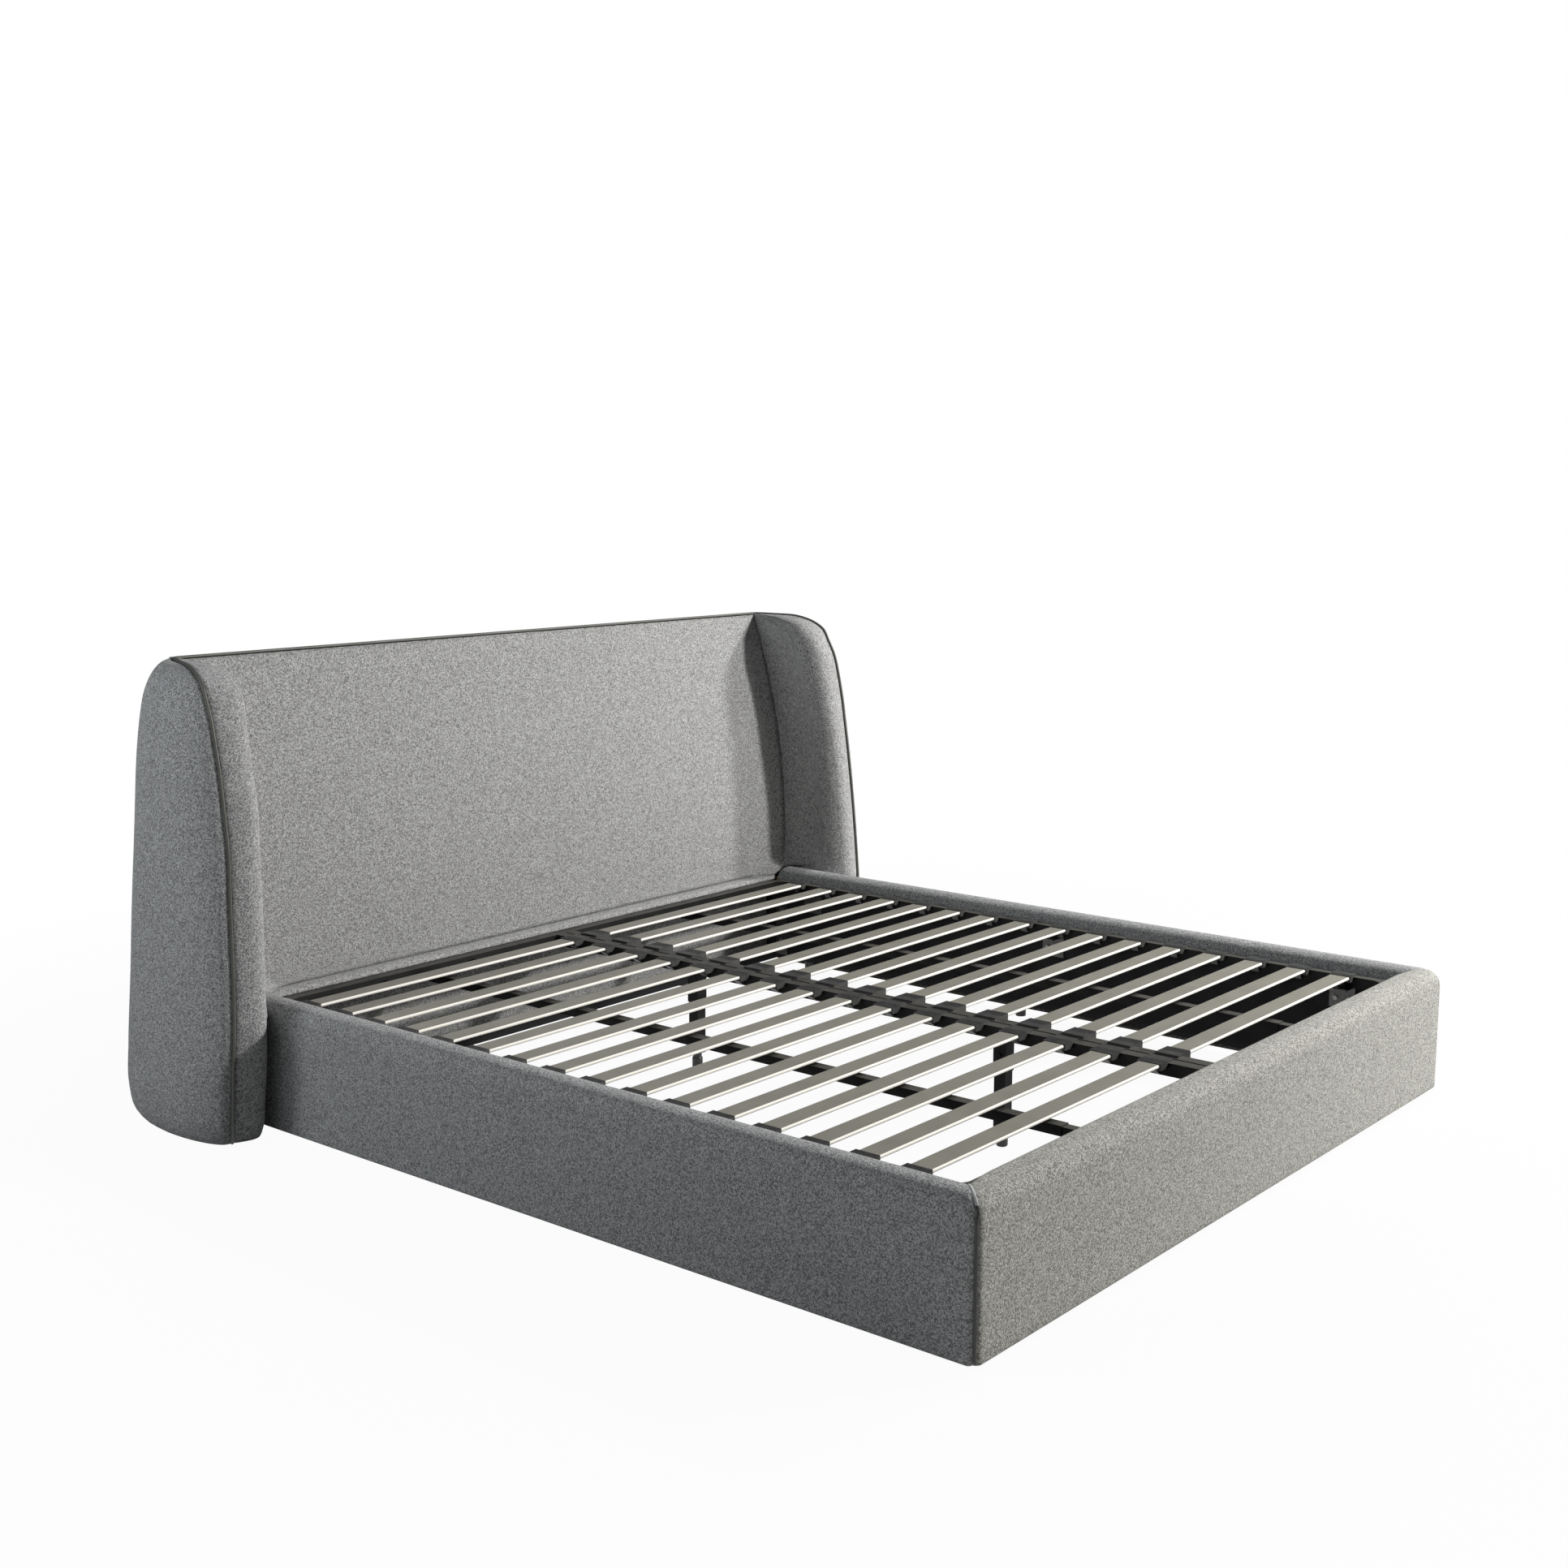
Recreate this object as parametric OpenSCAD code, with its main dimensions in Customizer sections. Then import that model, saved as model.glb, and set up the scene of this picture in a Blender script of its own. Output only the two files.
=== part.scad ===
// Upholstered bed with a winged headboard, padded rails and a sprung slat base.
// Millimetres. +Z is up, the head is at +Y, the origin is the middle of the footprint on the floor.

/* [Mattress well] */
// clear width between the side rails
well_w = 1960; // [1600:10:2060]
// clear length from the foot rail to the head ledge
well_l = 2071; // [1900:1:2200]

/* [Rails] */
// top of the padded rails above the floor
rail_h = 330; // [300:5:360]
// thickness of a padded rail
rail_t = 80; // [76:2:110]
// padding on a rail's outer face and top
rail_pad = 30; // [22:1:34]
// rounding of a rail's long top edges
rail_round = 36; // [20:1:37]
// rounding of a rail's long bottom edges
hem_round = 9; // [5:1:16]
// rounding of a rail's ends as seen from the side
rail_end_round = 40; // [25:1:55]
// rounding of a side rail's top at the headboard
head_end_round = 26; // [20:1:40]
// rounding of a rail's ends at the bottom
end_hem = 22; // [14:1:25]
// gap between the floor and the fabric of the rails
rail_clear = 16; // [8:1:25]

/* [Headboard] */
// height of the seam along the headboard's top
head_h = 1134; // [950:2:1350]
// depth from the ledge's front to the back of the headboard at the floor
head_d = 309; // [290:1:360]
// how far the front face leans back at the top
face_lean = 124; // [90:2:140]
// how much the back face leans forward for each millimetre of height
back_lean = 0.05; // [0.02:0.005:0.06]
// top of the ledge that meets the mattress, below the top of the rails
ledge_drop = 24; // [10:1:40]
// depth of the ledge
ledge_d = 45; // [35:1:55]
// thickness of the wing and shell padding
pad_t = 20; // [15:1:24]
// thickness of the front pad
front_t = 34; // [26:1:38]
// radius of the piping cord
cord_r = 3.6; // [2.6:0.1:4]
// rounding over the top of the headboard
roll_r = 99; // [75:1:102]

/* [Slat base] */
// distance from one slat to the next
slat_pitch = 120.6; // [90:0.1:140]
// width of a slat
slat_w = 53; // [45:1:70]
// thickness of a slat
slat_t = 8; // [7:0.5:12]
// top of the steel frame, below the top of the rails
frame_drop = 32; // [25:1:50]
// width and height of the frame's tubes
tube = 30; // [25:1:35]
// outer radius of the frame's bent corners
bend_r = 60; // [50:1:90]
// width of the centre rail
spine_w = 68; // [60:1:80]

/* [Centre legs] */
// distance of each centre leg from the middle of the frame
leg_off = 485; // [350:1:600]
// outer width of a leg's square tube
leg_w = 31; // [28:1:36]
// radius of a levelling foot
foot_r = 14; // [12:0.5:20]
// height of a levelling foot below its leg
foot_h = 45; // [36:1:55]

/* [Hidden] */
$fn = 48;
fit = 0.1;
gap = 0.3;

rail_in = well_w / 2;
rail_out = rail_in + rail_t;
full_l = rail_t + well_l + head_d;
y_foot = -full_l / 2;
y_well = y_foot + rail_t;
y_ledge = y_well + well_l;
y_pan = y_ledge + ledge_d;
y_back = y_foot + full_l;

// headboard heights
ledge_top = rail_h - ledge_drop;
z_bot = 6;
z_seam = ledge_top + 0.5;
z_face = 0.354 * head_h;
seam_round = 90;
bot_round = 76;
lean_from = 100;
x_join = rail_in - 80;
y_top = y_pan + face_lean + cord_r + fit;
slot = cord_r + fit;

// rows of the padded surfaces, from the floor to the top seam
low_rows = [z_bot + 2, z_bot + 14, z_bot + 38, lean_from, 200, z_seam - 0.25];
high_parts = [0, 0.05, 0.109, 0.213, 0.358, 0.479, 0.597, 0.685, 0.77, 0.849, 0.903, 0.943, 0.969, 0.988, 0.998, 1];
high_rows = [for (f = high_parts) z_seam + f * (head_h - z_seam)];
rows = concat(low_rows, high_rows);

// piping on the wing: part of the height, out from the rail, back from the panel's foot
edge_pts = [[0, 108, -160], [0.027, 120, -180], [0.177, 130, -210], [0.265, 128, -218], [0.338, 123, -215],
    [0.48, 116, -205], [0.621, 106, -192], [0.76, 103, -171], [0.828, 102, -156], [0.896, 100, -136],
    [0.958, 94, -100], [0.977, 88, -70], [0.991, 76, -30], [0.998, 54, 53], [1, 18, face_lean + slot]];
// roundest place of the wing's lip, in the same terms
lip_pts = [[0, 36, -163], [0.027, 43, -194], [0.177, 46, -221], [0.265, 47, -227], [0.43, 38, -216],
    [0.531, 31, -207], [0.705, 19, -188], [0.865, 10, -148], [0.937, 1, -123], [0.977, 4, -75], [0.991, 10, -20],
    [0.998, 16, 67], [1, 12, face_lean]];

// how far the shell swells out behind the piping
bulge_pts = [[0, 63], [0.089, 64], [0.22, 54.6], [0.62, 54.8], [0.8, 47.8], [0.885, 37.6], [1, 17]];

function clamp01(v) = max(0, min(1, v));
function along(t, i, z) = lookup(z / head_h, [for (r = t) [r[0], r[i]]]);
function flat(l) = [for (a = l) for (b = a) b];
function turn_s(z) = clamp01((z - head_h + roll_r) / roll_r);
function turn_c(z) = sqrt(1 - pow(turn_s(z), 2));
function bot_in(z) = bot_round - sqrt(pow(bot_round, 2) - pow(max(0, bot_round - z + z_bot), 2));

// front face and the seam where it meets the wings
function face_y(z) = y_pan + face_lean * pow(max(0, z - z_face) / (head_h - z_face), 2);
function seam_u(z) = clamp01((z - z_seam - seam_round) / (head_h - z_seam - seam_round));
function seam_v(z) = clamp01((z_seam + seam_round - z) / seam_round);
function seam_x(z) = rail_out - 20 + 28 * seam_u(z) - 85 * (1 - sqrt(1 - pow(seam_v(z), 2)));
function seam_d(z) = 33 * (1 - pow(seam_u(z), 2)) + 7 * seam_v(z);

// piping, and half of the slot it lies in
function edge_at(z) = [rail_out + along(edge_pts, 1, z), y_pan + along(edge_pts, 2, z)];
function lip_at(z) = [rail_out + along(lip_pts, 1, z), y_pan + along(lip_pts, 2, z)];
function slot_dir(z) = lookup(z / head_h, [[0, 0], [0.977, 0], [0.991, 15], [0.998, 26], [1, 58]]);
function slot_at(z) = slot * lookup(z / head_h, [[0, 1], [0.998, 1], [1, 1.18]]) * [cos(slot_dir(z)), sin(slot_dir(z))];

// smooth curve between two points with given directions
function ease(p, tp, q, tq, s) = (2 * s * s * s - 3 * s * s + 1) * p + (s * s * s - 2 * s * s + s) * tp
    + (3 * s * s - 2 * s * s * s) * q + (s * s * s - s * s) * tq;
function start_at(z) = z < z_seam ? [rail_out + 2, y_pan + 20] : [seam_x(z), face_y(z) - seam_d(z)];
function unit(v) = v / norm(v);
function start_turn(z) = unit([0.2, -0.98] + (z < z_seam ? 0 : seam_v(z)) * [0.9, 0.6]);
function lip_path(z) = let (s = start_at(z), m = lip_at(z), e = edge_at(z) - slot_at(z), a = norm(m - s), b = norm(e - m))
    concat([for (i = [0:4]) ease(s, 0.9 * a * start_turn(z), m, 0.8 * a * [0.76, -0.65], i / 5)],
        [for (i = [0:4]) ease(m, 1.1 * b * [0.76, -0.65], e, b * [0.94, 0.33], i / 4)]);
function inward(p, k) = let (d = p[min(len(p) - 1, k + 1)] - p[max(0, k - 1)]) [-d[1], d[0]] / norm(d);
function start_dir(z) = z < z_seam ? [1, 0] : [1, 0.85];
function lip_row(z, t) = let (p = lip_path(z), c = t * pow(turn_c(z), 2))
    [for (k = [0:9]) let (n = k == 0 ? start_dir(z) : k == 9 ? [0, 1] : inward(p, k))
        [p[k][0] + c * n[0], p[k][1] + c * n[1], z - t * turn_s(z)]];

// outer shell of a wing: round the side and the back corner
function back_y(z) = y_back - back_lean * max(0, z - lean_from) - roll_r * (1 - turn_c(z)) - bot_in(z);
function bulge(z) = max(3, lookup(z / head_h, bulge_pts) - 0.155 * roll_r * (1 - turn_c(z)) - 0.29 * bot_in(z));
function shell_pts(z) = let (p = edge_at(z) + slot_at(z), yb = back_y(z), ys = p[1] + 0.45 * (yb - p[1]), a = bulge(z),
        b = ys - p[1], ay = min(190, yb - ys - 2), ax = min(175, 1.2 * ay), xs = p[0] + a)
    concat([for (i = [0:5]) [p[0] + a * sin(18 * i), ys - b * cos(18 * i), sin(18 * i) / a, -cos(18 * i) / b]],
        [for (i = [0:5]) [xs - ax + ax * cos(18 * i), yb - ay + ay * sin(18 * i), cos(18 * i) / ax, sin(18 * i) / ay]],
        [[x_join, yb, 0, 1]]);
function top_x(k) = k < 11 ? 0.2 * k : -10;
function shell_row(z, t) = z > head_h - 0.01
    ? [for (k = [0:12]) [edge_at(z)[0] + slot_at(z)[0] + (k == 12 ? 0 : top_x(k)) - (k == 12 ? edge_at(z)[0] + slot_at(z)[0] - x_join : 0),
        y_top + slot + (k < 12 ? 0.1 * min(k, 5) : 0), z - t]]
    : [for (q = shell_pts(z)) let (n = unit([q[2], q[3]]), c = t * turn_c(z))
        [q[0] - c * n[0], q[1] - c * n[1], z - t * turn_s(z)]];

// solid between a front grid and a back grid of points
module sheet(a, b) {
    m = len(a);
    n = len(a[0]);
    o = m * n;
    mid = flat([for (j = [0:m - 2]) flat([for (k = [0:n - 2]) let (p = j * n + k)
        [[p, p + n + 1, p + 1], [p, p + n, p + n + 1], [o + p, o + p + 1, o + p + n + 1], [o + p, o + p + n + 1, o + p + n]]])]);
    ends = flat([for (k = [0:n - 2]) let (t = (m - 1) * n + k)
        [[k, k + 1, o + k + 1], [k, o + k + 1, o + k], [t + 1, t, o + t], [t + 1, o + t, o + t + 1]]]);
    sides = flat([for (j = [0:m - 2]) let (l = j * n, r = j * n + n - 1)
        [[l + n, l, o + l], [l + n, o + l, o + l + n], [r, r + n, o + r + n], [r, o + r + n, o + r]]]);
    polyhedron(points = concat(flat(a), flat(b)), faces = concat(mid, ends, sides), convexity = 8);
}

module both() {
    children();
    mirror([1, 0, 0]) children();
}

module box(x0, x1, y0, y1, z0, z1) {
    translate([x0, y0, z0]) cube([x1 - x0, y1 - y0, z1 - z0]);
}

// round rectangle made of squares and circles
module pill(x0, x1, y0, y1, r) {
    translate([x0 + r, y0]) square([x1 - x0 - 2 * r, y1 - y0]);
    translate([x0, y0 + r]) square([x1 - x0, y1 - y0 - 2 * r]);
    for (x = [x0 + r, x1 - r]) for (y = [y0 + r, y1 - r]) translate([x, y]) circle(r);
}

// headboard padding
pad_cols = [0, 0.3, 0.6, 0.85, 1];
side_w = 120;
crown = 4;
function face_x(z) = let (s = seam_x(z), f = s - side_w, h = [for (v = [0.25, 0.5, 0.75, 1]) f + v * side_w])
    concat([for (i = [3:-1:0]) -h[i]], [-f, -f / 2, 0, f / 2, f], h);
function face_w(x, z) = clamp01((abs(x) - seam_x(z) + side_w) / side_w);
function face_row(z) = [for (x = face_x(z)) let (u = clamp01((z - z_seam) / (head_h - z_seam)))
    [x - sign(x) * (face_w(x, z) == 1 ? fit : 0),
        face_y(z) - seam_d(z) * pow(face_w(x, z), 4) - crown * 4 * u * (1 - u) * (1 - pow(x / seam_x(z), 2)), z]];
function face_back(z) = [for (x = face_x(z)) let (w = face_w(x, z), c = pow(turn_c(z), 2))
    [x + sign(x) * ((pad_t - fit) * w * c), face_y(z) + c * front_t - seam_d(z) * pow(w, 4) - c * w * w * (front_t - 0.85 * pad_t),
        z - turn_s(z) * (pad_t + 6 * (1 - w))]];

module front_pad() {
    color("lightgrey") sheet([for (z = high_rows) face_row(z)], [for (z = high_rows) face_back(z)]);
}

// the rail's head end is let into the pad
module wing_pad_r() {
    difference() {
        sheet([for (z = rows) lip_row(z, 0)], [for (z = rows) lip_row(z, pad_t)]);
        box(rail_in - 60, rail_out + 1, y_ledge - 250, side_head + 0.5, z_seam - 0.4, rail_h + 0.5);
    }
}

module wing_pad_right() {
    color("lightgrey") wing_pad_r();
}

module wing_pad_left() {
    color("lightgrey") mirror([1, 0, 0]) wing_pad_r();
}

module wing_shell_r() {
    sheet([for (z = rows) shell_row(z, 0)], [for (z = rows) shell_row(z, pad_t)]);
}

module wing_shell_right() {
    color("silver") wing_shell_r();
}

module wing_shell_left() {
    color("silver") mirror([1, 0, 0]) wing_shell_r();
}

// the back runs between the shells and over the top
module back_panel() {
    out = [for (z = rows) z > head_h - 0.01 ? [y_top + slot, z] : [back_y(z), z]];
    inn = [for (i = [len(rows) - 1:-1:0]) let (z = rows[i], p = out[i])
        [p[0] - pad_t * turn_c(z), z - pad_t * turn_s(z)]];
    color("silver") rotate([90, 0, 90]) translate([0, 0, -x_join + fit])
        linear_extrude(2 * x_join - 2 * fit) polygon(concat(out, inn));
}

// piping cord swept along both wings and the top
cord_rows = concat([z_bot + 4], [for (i = [1:len(rows) - 1]) rows[i]]);
function cord_path() = let (h = [for (z = cord_rows) let (p = edge_at(z)) [p[0], p[1], z]])
    concat([for (p = h) [-p[0], p[1], p[2]]], [for (i = [len(h) - 1:-1:0]) h[i]]);
module piping() {
    p = cord_path();
    m = len(p);
    n = 8;
    ring = [for (i = [0:m - 1]) let (d = unit(p[min(m - 1, i + 1)] - p[max(0, i - 1)]),
        u = unit(cross(d, abs(d[1]) < 0.9 ? [0, 1, 0] : [1, 0, 0])), v = cross(d, u))
        [for (k = [0:n - 1]) p[i] + cord_r * (cos(360 * k / n) * u + sin(360 * k / n) * v)]];
    side = flat([for (i = [0:m - 2]) flat([for (k = [0:n - 1]) let (a = i * n + k, b = i * n + (k + 1) % n)
        [[a, b, b + n], [a, b + n, a + n]]])]);
    caps = concat([for (k = [1:n - 2]) [0, k + 1, k]], [for (k = [1:n - 2]) [(m - 1) * n, (m - 1) * n + k, (m - 1) * n + k + 1]]);
    color("dimgrey") polyhedron(points = flat(ring), faces = [for (f = concat(side, caps)) [f[0], f[2], f[1]]], convexity = 8);
}

// lower front of the headboard
panel_t = 24;
module head_ledge() {
    color("lightgrey") rotate([90, 0, 90]) translate([0, 0, fit - rail_in]) linear_extrude(2 * rail_in - 2 * fit) difference() {
        union() {
            pill(y_ledge, y_pan - fit, ledge_top - 35, ledge_top, 10);
            translate([y_pan - 22, ledge_top - 35]) square([22 - fit, 35]);
        }
        translate([y_ledge - 5, ledge_top - 18.5]) square([8, 1.2]);
    }
}

module lower_front_panel() {
    color("grey") box(-rail_out + 2, rail_out - 2, y_pan, y_pan + panel_t, 50, z_seam - gap);
}

module base_strip() {
    color("black") box(-rail_out + 2, rail_out - 2, y_pan + 4, y_pan + panel_t, z_bot + 2, 50 - fit);
}

// plywood formers behind the front pad
former_t = 18;
x_former = rail_in - 120;
former_x = [-x_former, -x_former / 2, 0, x_former / 2, x_former];
former_rows = [for (z = high_rows) if (z < head_h - roll_r - 5) z];
module former() {
    front = concat([[y_pan + panel_t + fit, z_bot + 2], [y_pan + panel_t + fit, z_seam - gap]],
        [for (z = former_rows) [face_y(z) + front_t + fit, z]]);
    back = [for (i = [len(former_rows) - 1:-1:0]) [back_y(former_rows[i]) - pad_t - fit, former_rows[i]]];
    low = [for (i = [len(low_rows) - 2:-1:0]) [back_y(low_rows[i]) - pad_t - fit, low_rows[i]]];
    rotate([90, 0, 90]) translate([0, 0, -former_t / 2]) linear_extrude(former_t) difference() {
        polygon(concat(front, back, low));
        pill(y_pan + 75, y_back - 75, 110, 280, 30);
        pill(y_pan + 95, y_back - 75, 340, 520, 30);
    }
}

module head_formers() {
    color("burlywood") for (x = former_x) translate([x, 0, 0]) former();
}

// battens between the formers
module battens_at(y, z, w, h) {
    s = x_former / 2;
    for (i = [0:3]) translate([former_x[i] + former_t / 2 + fit, y, z]) cube([s - former_t - 2 * fit, w, h]);
}

module head_battens() {
    color("tan") {
        battens_at(y_pan + panel_t + fit, z_bot + 2, 45, 45);
        battens_at(back_y(lean_from) - pad_t - 50, lean_from + 2, 45, 45);
        battens_at(y_pan + panel_t + fit, z_seam - 50, 45, 45);
        battens_at(face_y(high_rows[9]) + front_t + 1, high_rows[9] - 46, 30, 45);
    }
}

// wing ribs follow the padding at their height
rib_t = 18;
rib_gap = 5;
rib_rows = [lean_from + 15, 200, high_rows[4], high_rows[6], high_rows[8]];
function rib_start(z) = z < z_seam
    ? [for (x = [x_former + former_t / 2 + fit, rail_out + 2 + pad_t + rib_gap]) [x, y_pan + panel_t + fit]]
    : [for (x = concat([x_former + former_t / 2 + fit], [for (v = [0, 0.25, 0.5, 0.75, 1]) seam_x(z) - side_w + v * side_w]))
        let (w = face_w(x, z)) [x + pad_t * w - (w == 1 ? 1 : 0), face_y(z) + front_t + rib_gap - w * w * (front_t - 0.85 * pad_t) - seam_d(z) * pow(w, 4)]];
function rib_path(z) = concat(rib_start(z), [for (k = [1:9]) let (p = lip_row(z, pad_t + rib_gap)[k]) [p[0], p[1]]],
    [for (k = [1:12]) let (p = shell_row(z, pad_t + rib_gap)[k]) [p[0], p[1]]],
    [[x_former + former_t / 2 + fit, back_y(z) - pad_t - rib_gap]]);
post_w = 40;
module wing_post_r(c) {
    box(rail_out + 60 - c, rail_out + 60 + post_w + c, y_pan + 40 - c, y_pan + 100 + c, z_bot + 20 - c, high_rows[8] + 40);
}

module wing_ribs_r() {
    for (z = rib_rows) difference() {
        translate([0, 0, z - rib_t / 2]) linear_extrude(rib_t) intersection() {
            polygon(rib_path(z - rib_t / 2));
            polygon(rib_path(z));
            polygon(rib_path(z + rib_t / 2));
        }
        wing_post_r(fit);
    }
}

module wing_ribs_right() {
    color("burlywood") wing_ribs_r();
}

module wing_ribs_left() {
    color("burlywood") mirror([1, 0, 0]) wing_ribs_r();
}

module wing_posts() {
    color("tan") both() wing_post_r(0);
}

module head_glides() {
    color("black") {
        both() for (y = [y_pan + 50, y_pan + 90]) translate([rail_out + 60 + post_w / 2, y, 0]) cylinder(h = z_bot + 20, r = 14);
        for (x = [-0.73 * x_former, 0.73 * x_former]) translate([x, y_pan + panel_t + 22, 0]) cylinder(h = z_bot + 2 - fit, r = 20);
    }
}

// padded rails
core_in = rail_in + 5;
core_out = rail_out - rail_pad;
core_bot = 40;
core_top = rail_h - rail_pad;
flap_bot = core_top - 10;
side_head = y_ledge + 3;
mitre_r = 14;
mitre_in = mitre_r * (1 - cos(65));
mitre_c = y_foot + mitre_in + mitre_r * sin(65);

// rail section: x across, y up
module rail_section(out) {
    difference() {
        union() {
            pill(rail_in, out, rail_clear, rail_h, rail_round);
            pill(rail_in, out, rail_clear, rail_clear + 2 * rail_round, hem_round);
        }
        translate([rail_in - 1, -1]) square([core_in + 40 - rail_in, flap_bot + 1]);
        translate([core_in - fit, -1]) square([core_out - core_in + 2 * fit, core_top + 1 + fit]);
    }
}

// rail seen from the side, with rounded ends
module end_section(a, b) {
    pill(a, b, rail_clear, rail_h, rail_end_round);
    pill(a, b, rail_clear, rail_clear + 2 * rail_end_round, end_hem);
}

module side_cover_r() {
    difference() {
        intersection() {
            translate([0, y_foot + full_l, 0]) rotate([90, 0, 0]) linear_extrude(full_l) rail_section(rail_out);
            translate([rail_in - 5, 0, 0]) rotate([90, 0, 90]) linear_extrude(rail_t + 10)
                union() {
                    intersection() {
                        end_section(y_foot + 2, side_head + rail_end_round);
                        translate([y_foot, 0]) square([full_l / 2, rail_h]);
                    }
                    pill(y_foot / 2, side_head, rail_clear, rail_h, head_end_round);
                }
            linear_extrude(rail_h) polygon(concat([[rail_in - fit, side_head + 5], [rail_in - fit, y_well + fit * 3],
                [rail_out - mitre_in - fit, y_foot + mitre_in + fit * 2]],
                [for (i = [1:5]) [rail_out - mitre_r + mitre_r * cos(65 - 13 * i), mitre_c - mitre_r * sin(65 - 13 * i)]],
                [[rail_out, side_head + 5]]));
        }
        for (y = glide_y) translate([glide_x, y, -1]) cylinder(h = core_bot + 1, r = 16);
    }
}

module side_cover_right() {
    color("lightgrey") side_cover_r();
}

module side_cover_left() {
    color("lightgrey") mirror([1, 0, 0]) side_cover_r();
}

module foot_cover() {
    w = rail_out;
    color("lightgrey") intersection() {
        translate([-w, 0, 0]) rotate([90, 0, 90]) linear_extrude(2 * w)
            mirror([1, 0]) translate([-y_foot - rail_out, 0]) rail_section(rail_out);
        translate([0, y_well + 5, 0]) rotate([90, 0, 0]) linear_extrude(rail_t + 10)
            end_section(-w + 2, w - 2);
        linear_extrude(rail_h) polygon(concat([[-rail_in, y_well], [-rail_out + mitre_in, y_foot + mitre_in]],
            [for (i = [1:5]) [-mitre_x(i), mitre_y(i)]], [for (i = [5:-1:1]) [mitre_x(i), mitre_y(i)]],
            [[rail_out - mitre_in, y_foot + mitre_in], [rail_in, y_well]]));
    }
}
function mitre_x(i) = rail_out - mitre_in - mitre_r * sin(65) + mitre_r * sin(65 - 13 * i);
function mitre_y(i) = y_foot + mitre_r - mitre_r * cos(65 - 13 * i);

// timber cores and their inner lining
module side_rail_r() {
    box(core_in, core_out, y_well + 5, side_head - 2, core_bot, core_top);
    box(core_in, core_out, side_head - 3, y_pan - fit, core_bot, ledge_top - 45);
}

module side_rail_right() {
    color("tan") side_rail_r();
}

module side_rail_left() {
    color("tan") mirror([1, 0, 0]) side_rail_r();
}

module foot_rail() {
    color("tan") box(-core_out, core_out, y_foot + rail_pad, y_well - 5, core_bot, core_top);
}

module side_lining_r() {
    box(rail_in, core_in - fit, y_well - 4, y_ledge - gap, core_bot, flap_bot - fit);
    box(rail_in, core_in - fit, y_ledge - gap - 1, y_pan - 6, core_bot, ledge_top - 36);
}

module side_lining_right() {
    color("black") side_lining_r();
}

module side_lining_left() {
    color("black") mirror([1, 0, 0]) side_lining_r();
}

module foot_lining() {
    color("black") box(-rail_in + fit, rail_in - fit, y_well - 5 + fit, y_well, core_bot, flap_bot - fit);
}

// glides under the rails
glide_x = core_in + 19;
glide_y = [0.73 * y_foot, 0, 0.65 * y_back];
module rail_glides() {
    color("black") {
        both() for (y = glide_y) translate([glide_x, y, 0]) cylinder(h = core_bot, r = 15);
        for (x = [-0.47 * rail_out, 0.47 * rail_out]) translate([x, y_well - 24, 0]) cylinder(h = core_bot, r = 15);
    }
}

// steel frame of the slat base
frame_top = rail_h - frame_drop;
frame_bot = frame_top - tube;
frame_x = rail_in - 4;
frame_head = y_ledge - 17;
frame_foot = y_well + 1;
wall = 2;

module ring_corner(x, y, a) {
    translate([x, y, frame_bot]) rotate([0, 0, a]) intersection() {
        difference() {
            cylinder(h = tube, r = bend_r);
            translate([0, 0, -1]) cylinder(h = tube + 2, r = bend_r - tube);
            translate([0, 0, wall]) difference() {
                cylinder(h = tube - 2 * wall, r = bend_r - wall);
                translate([0, 0, -1]) cylinder(h = tube, r = bend_r - tube + wall);
            }
        }
        translate([0, 0, -2]) cube([bend_r + 1, bend_r + 1, tube + 4]);
    }
}

module tube_x(x0, x1, y0, w, h, z0) {
    difference() {
        box(x0, x1, y0, y0 + w, z0, z0 + h);
        box(x0 - 1, x1 + 1, y0 + wall, y0 + w - wall, z0 + wall, z0 + h - wall);
    }
}

module tube_y(y0, y1, x0, w, h, z0) {
    difference() {
        box(x0, x0 + w, y0, y1, z0, z0 + h);
        box(x0 + wall, x0 + w - wall, y0 - 1, y1 + 1, z0 + wall, z0 + h - wall);
    }
}

module frame_head_tube() {
    x = frame_x - bend_r;
    color("darkgrey") difference() {
        union() {
            tube_x(-x, x, frame_head - tube, tube, tube, frame_bot);
            ring_corner(x, frame_head - bend_r, 0);
            ring_corner(-x, frame_head - bend_r, 90);
        }
        for (s = [-0.66, -0.36, 0.36, 0.66]) translate([s * frame_x, frame_head - tube - 1, frame_bot + 15])
            rotate([-90, 0, 0]) linear_extrude(wall + 2) pill(-12, 12, -4, 4, 3.9);
    }
}

module frame_foot_tube() {
    x = frame_x - bend_r;
    color("darkgrey") {
        tube_x(-x, x, frame_foot, tube, tube, frame_bot);
        ring_corner(-x, frame_foot + bend_r, 180);
        ring_corner(x, frame_foot + bend_r, 270);
    }
}

module frame_tube_right() {
    color("darkgrey") tube_y(frame_foot + bend_r + fit, frame_head - bend_r - fit, frame_x - tube, tube, tube, frame_bot);
}

module frame_tube_left() {
    color("darkgrey") mirror([1, 0, 0])
        tube_y(frame_foot + bend_r + fit, frame_head - bend_r - fit, frame_x - tube, tube, tube, frame_bot);
}

spine_y0 = frame_foot + tube + fit;
spine_y1 = frame_head - tube - fit;
module centre_rail() {
    color("darkgrey") difference() {
        box(-spine_w / 2, spine_w / 2, spine_y0, spine_y1, frame_bot, frame_top);
        both() box(3, spine_w / 2 - wall, spine_y0 - 1, spine_y1 + 1, frame_bot + wall, frame_top - wall);
        box(-3, 3, spine_y0 - 1, spine_y1 + 1, frame_top - 5, frame_top + 1);
        for (y = leg_y) translate([0, y, frame_bot - 1]) cylinder(h = tube - 8, r = 3.1);
    }
}

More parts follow.
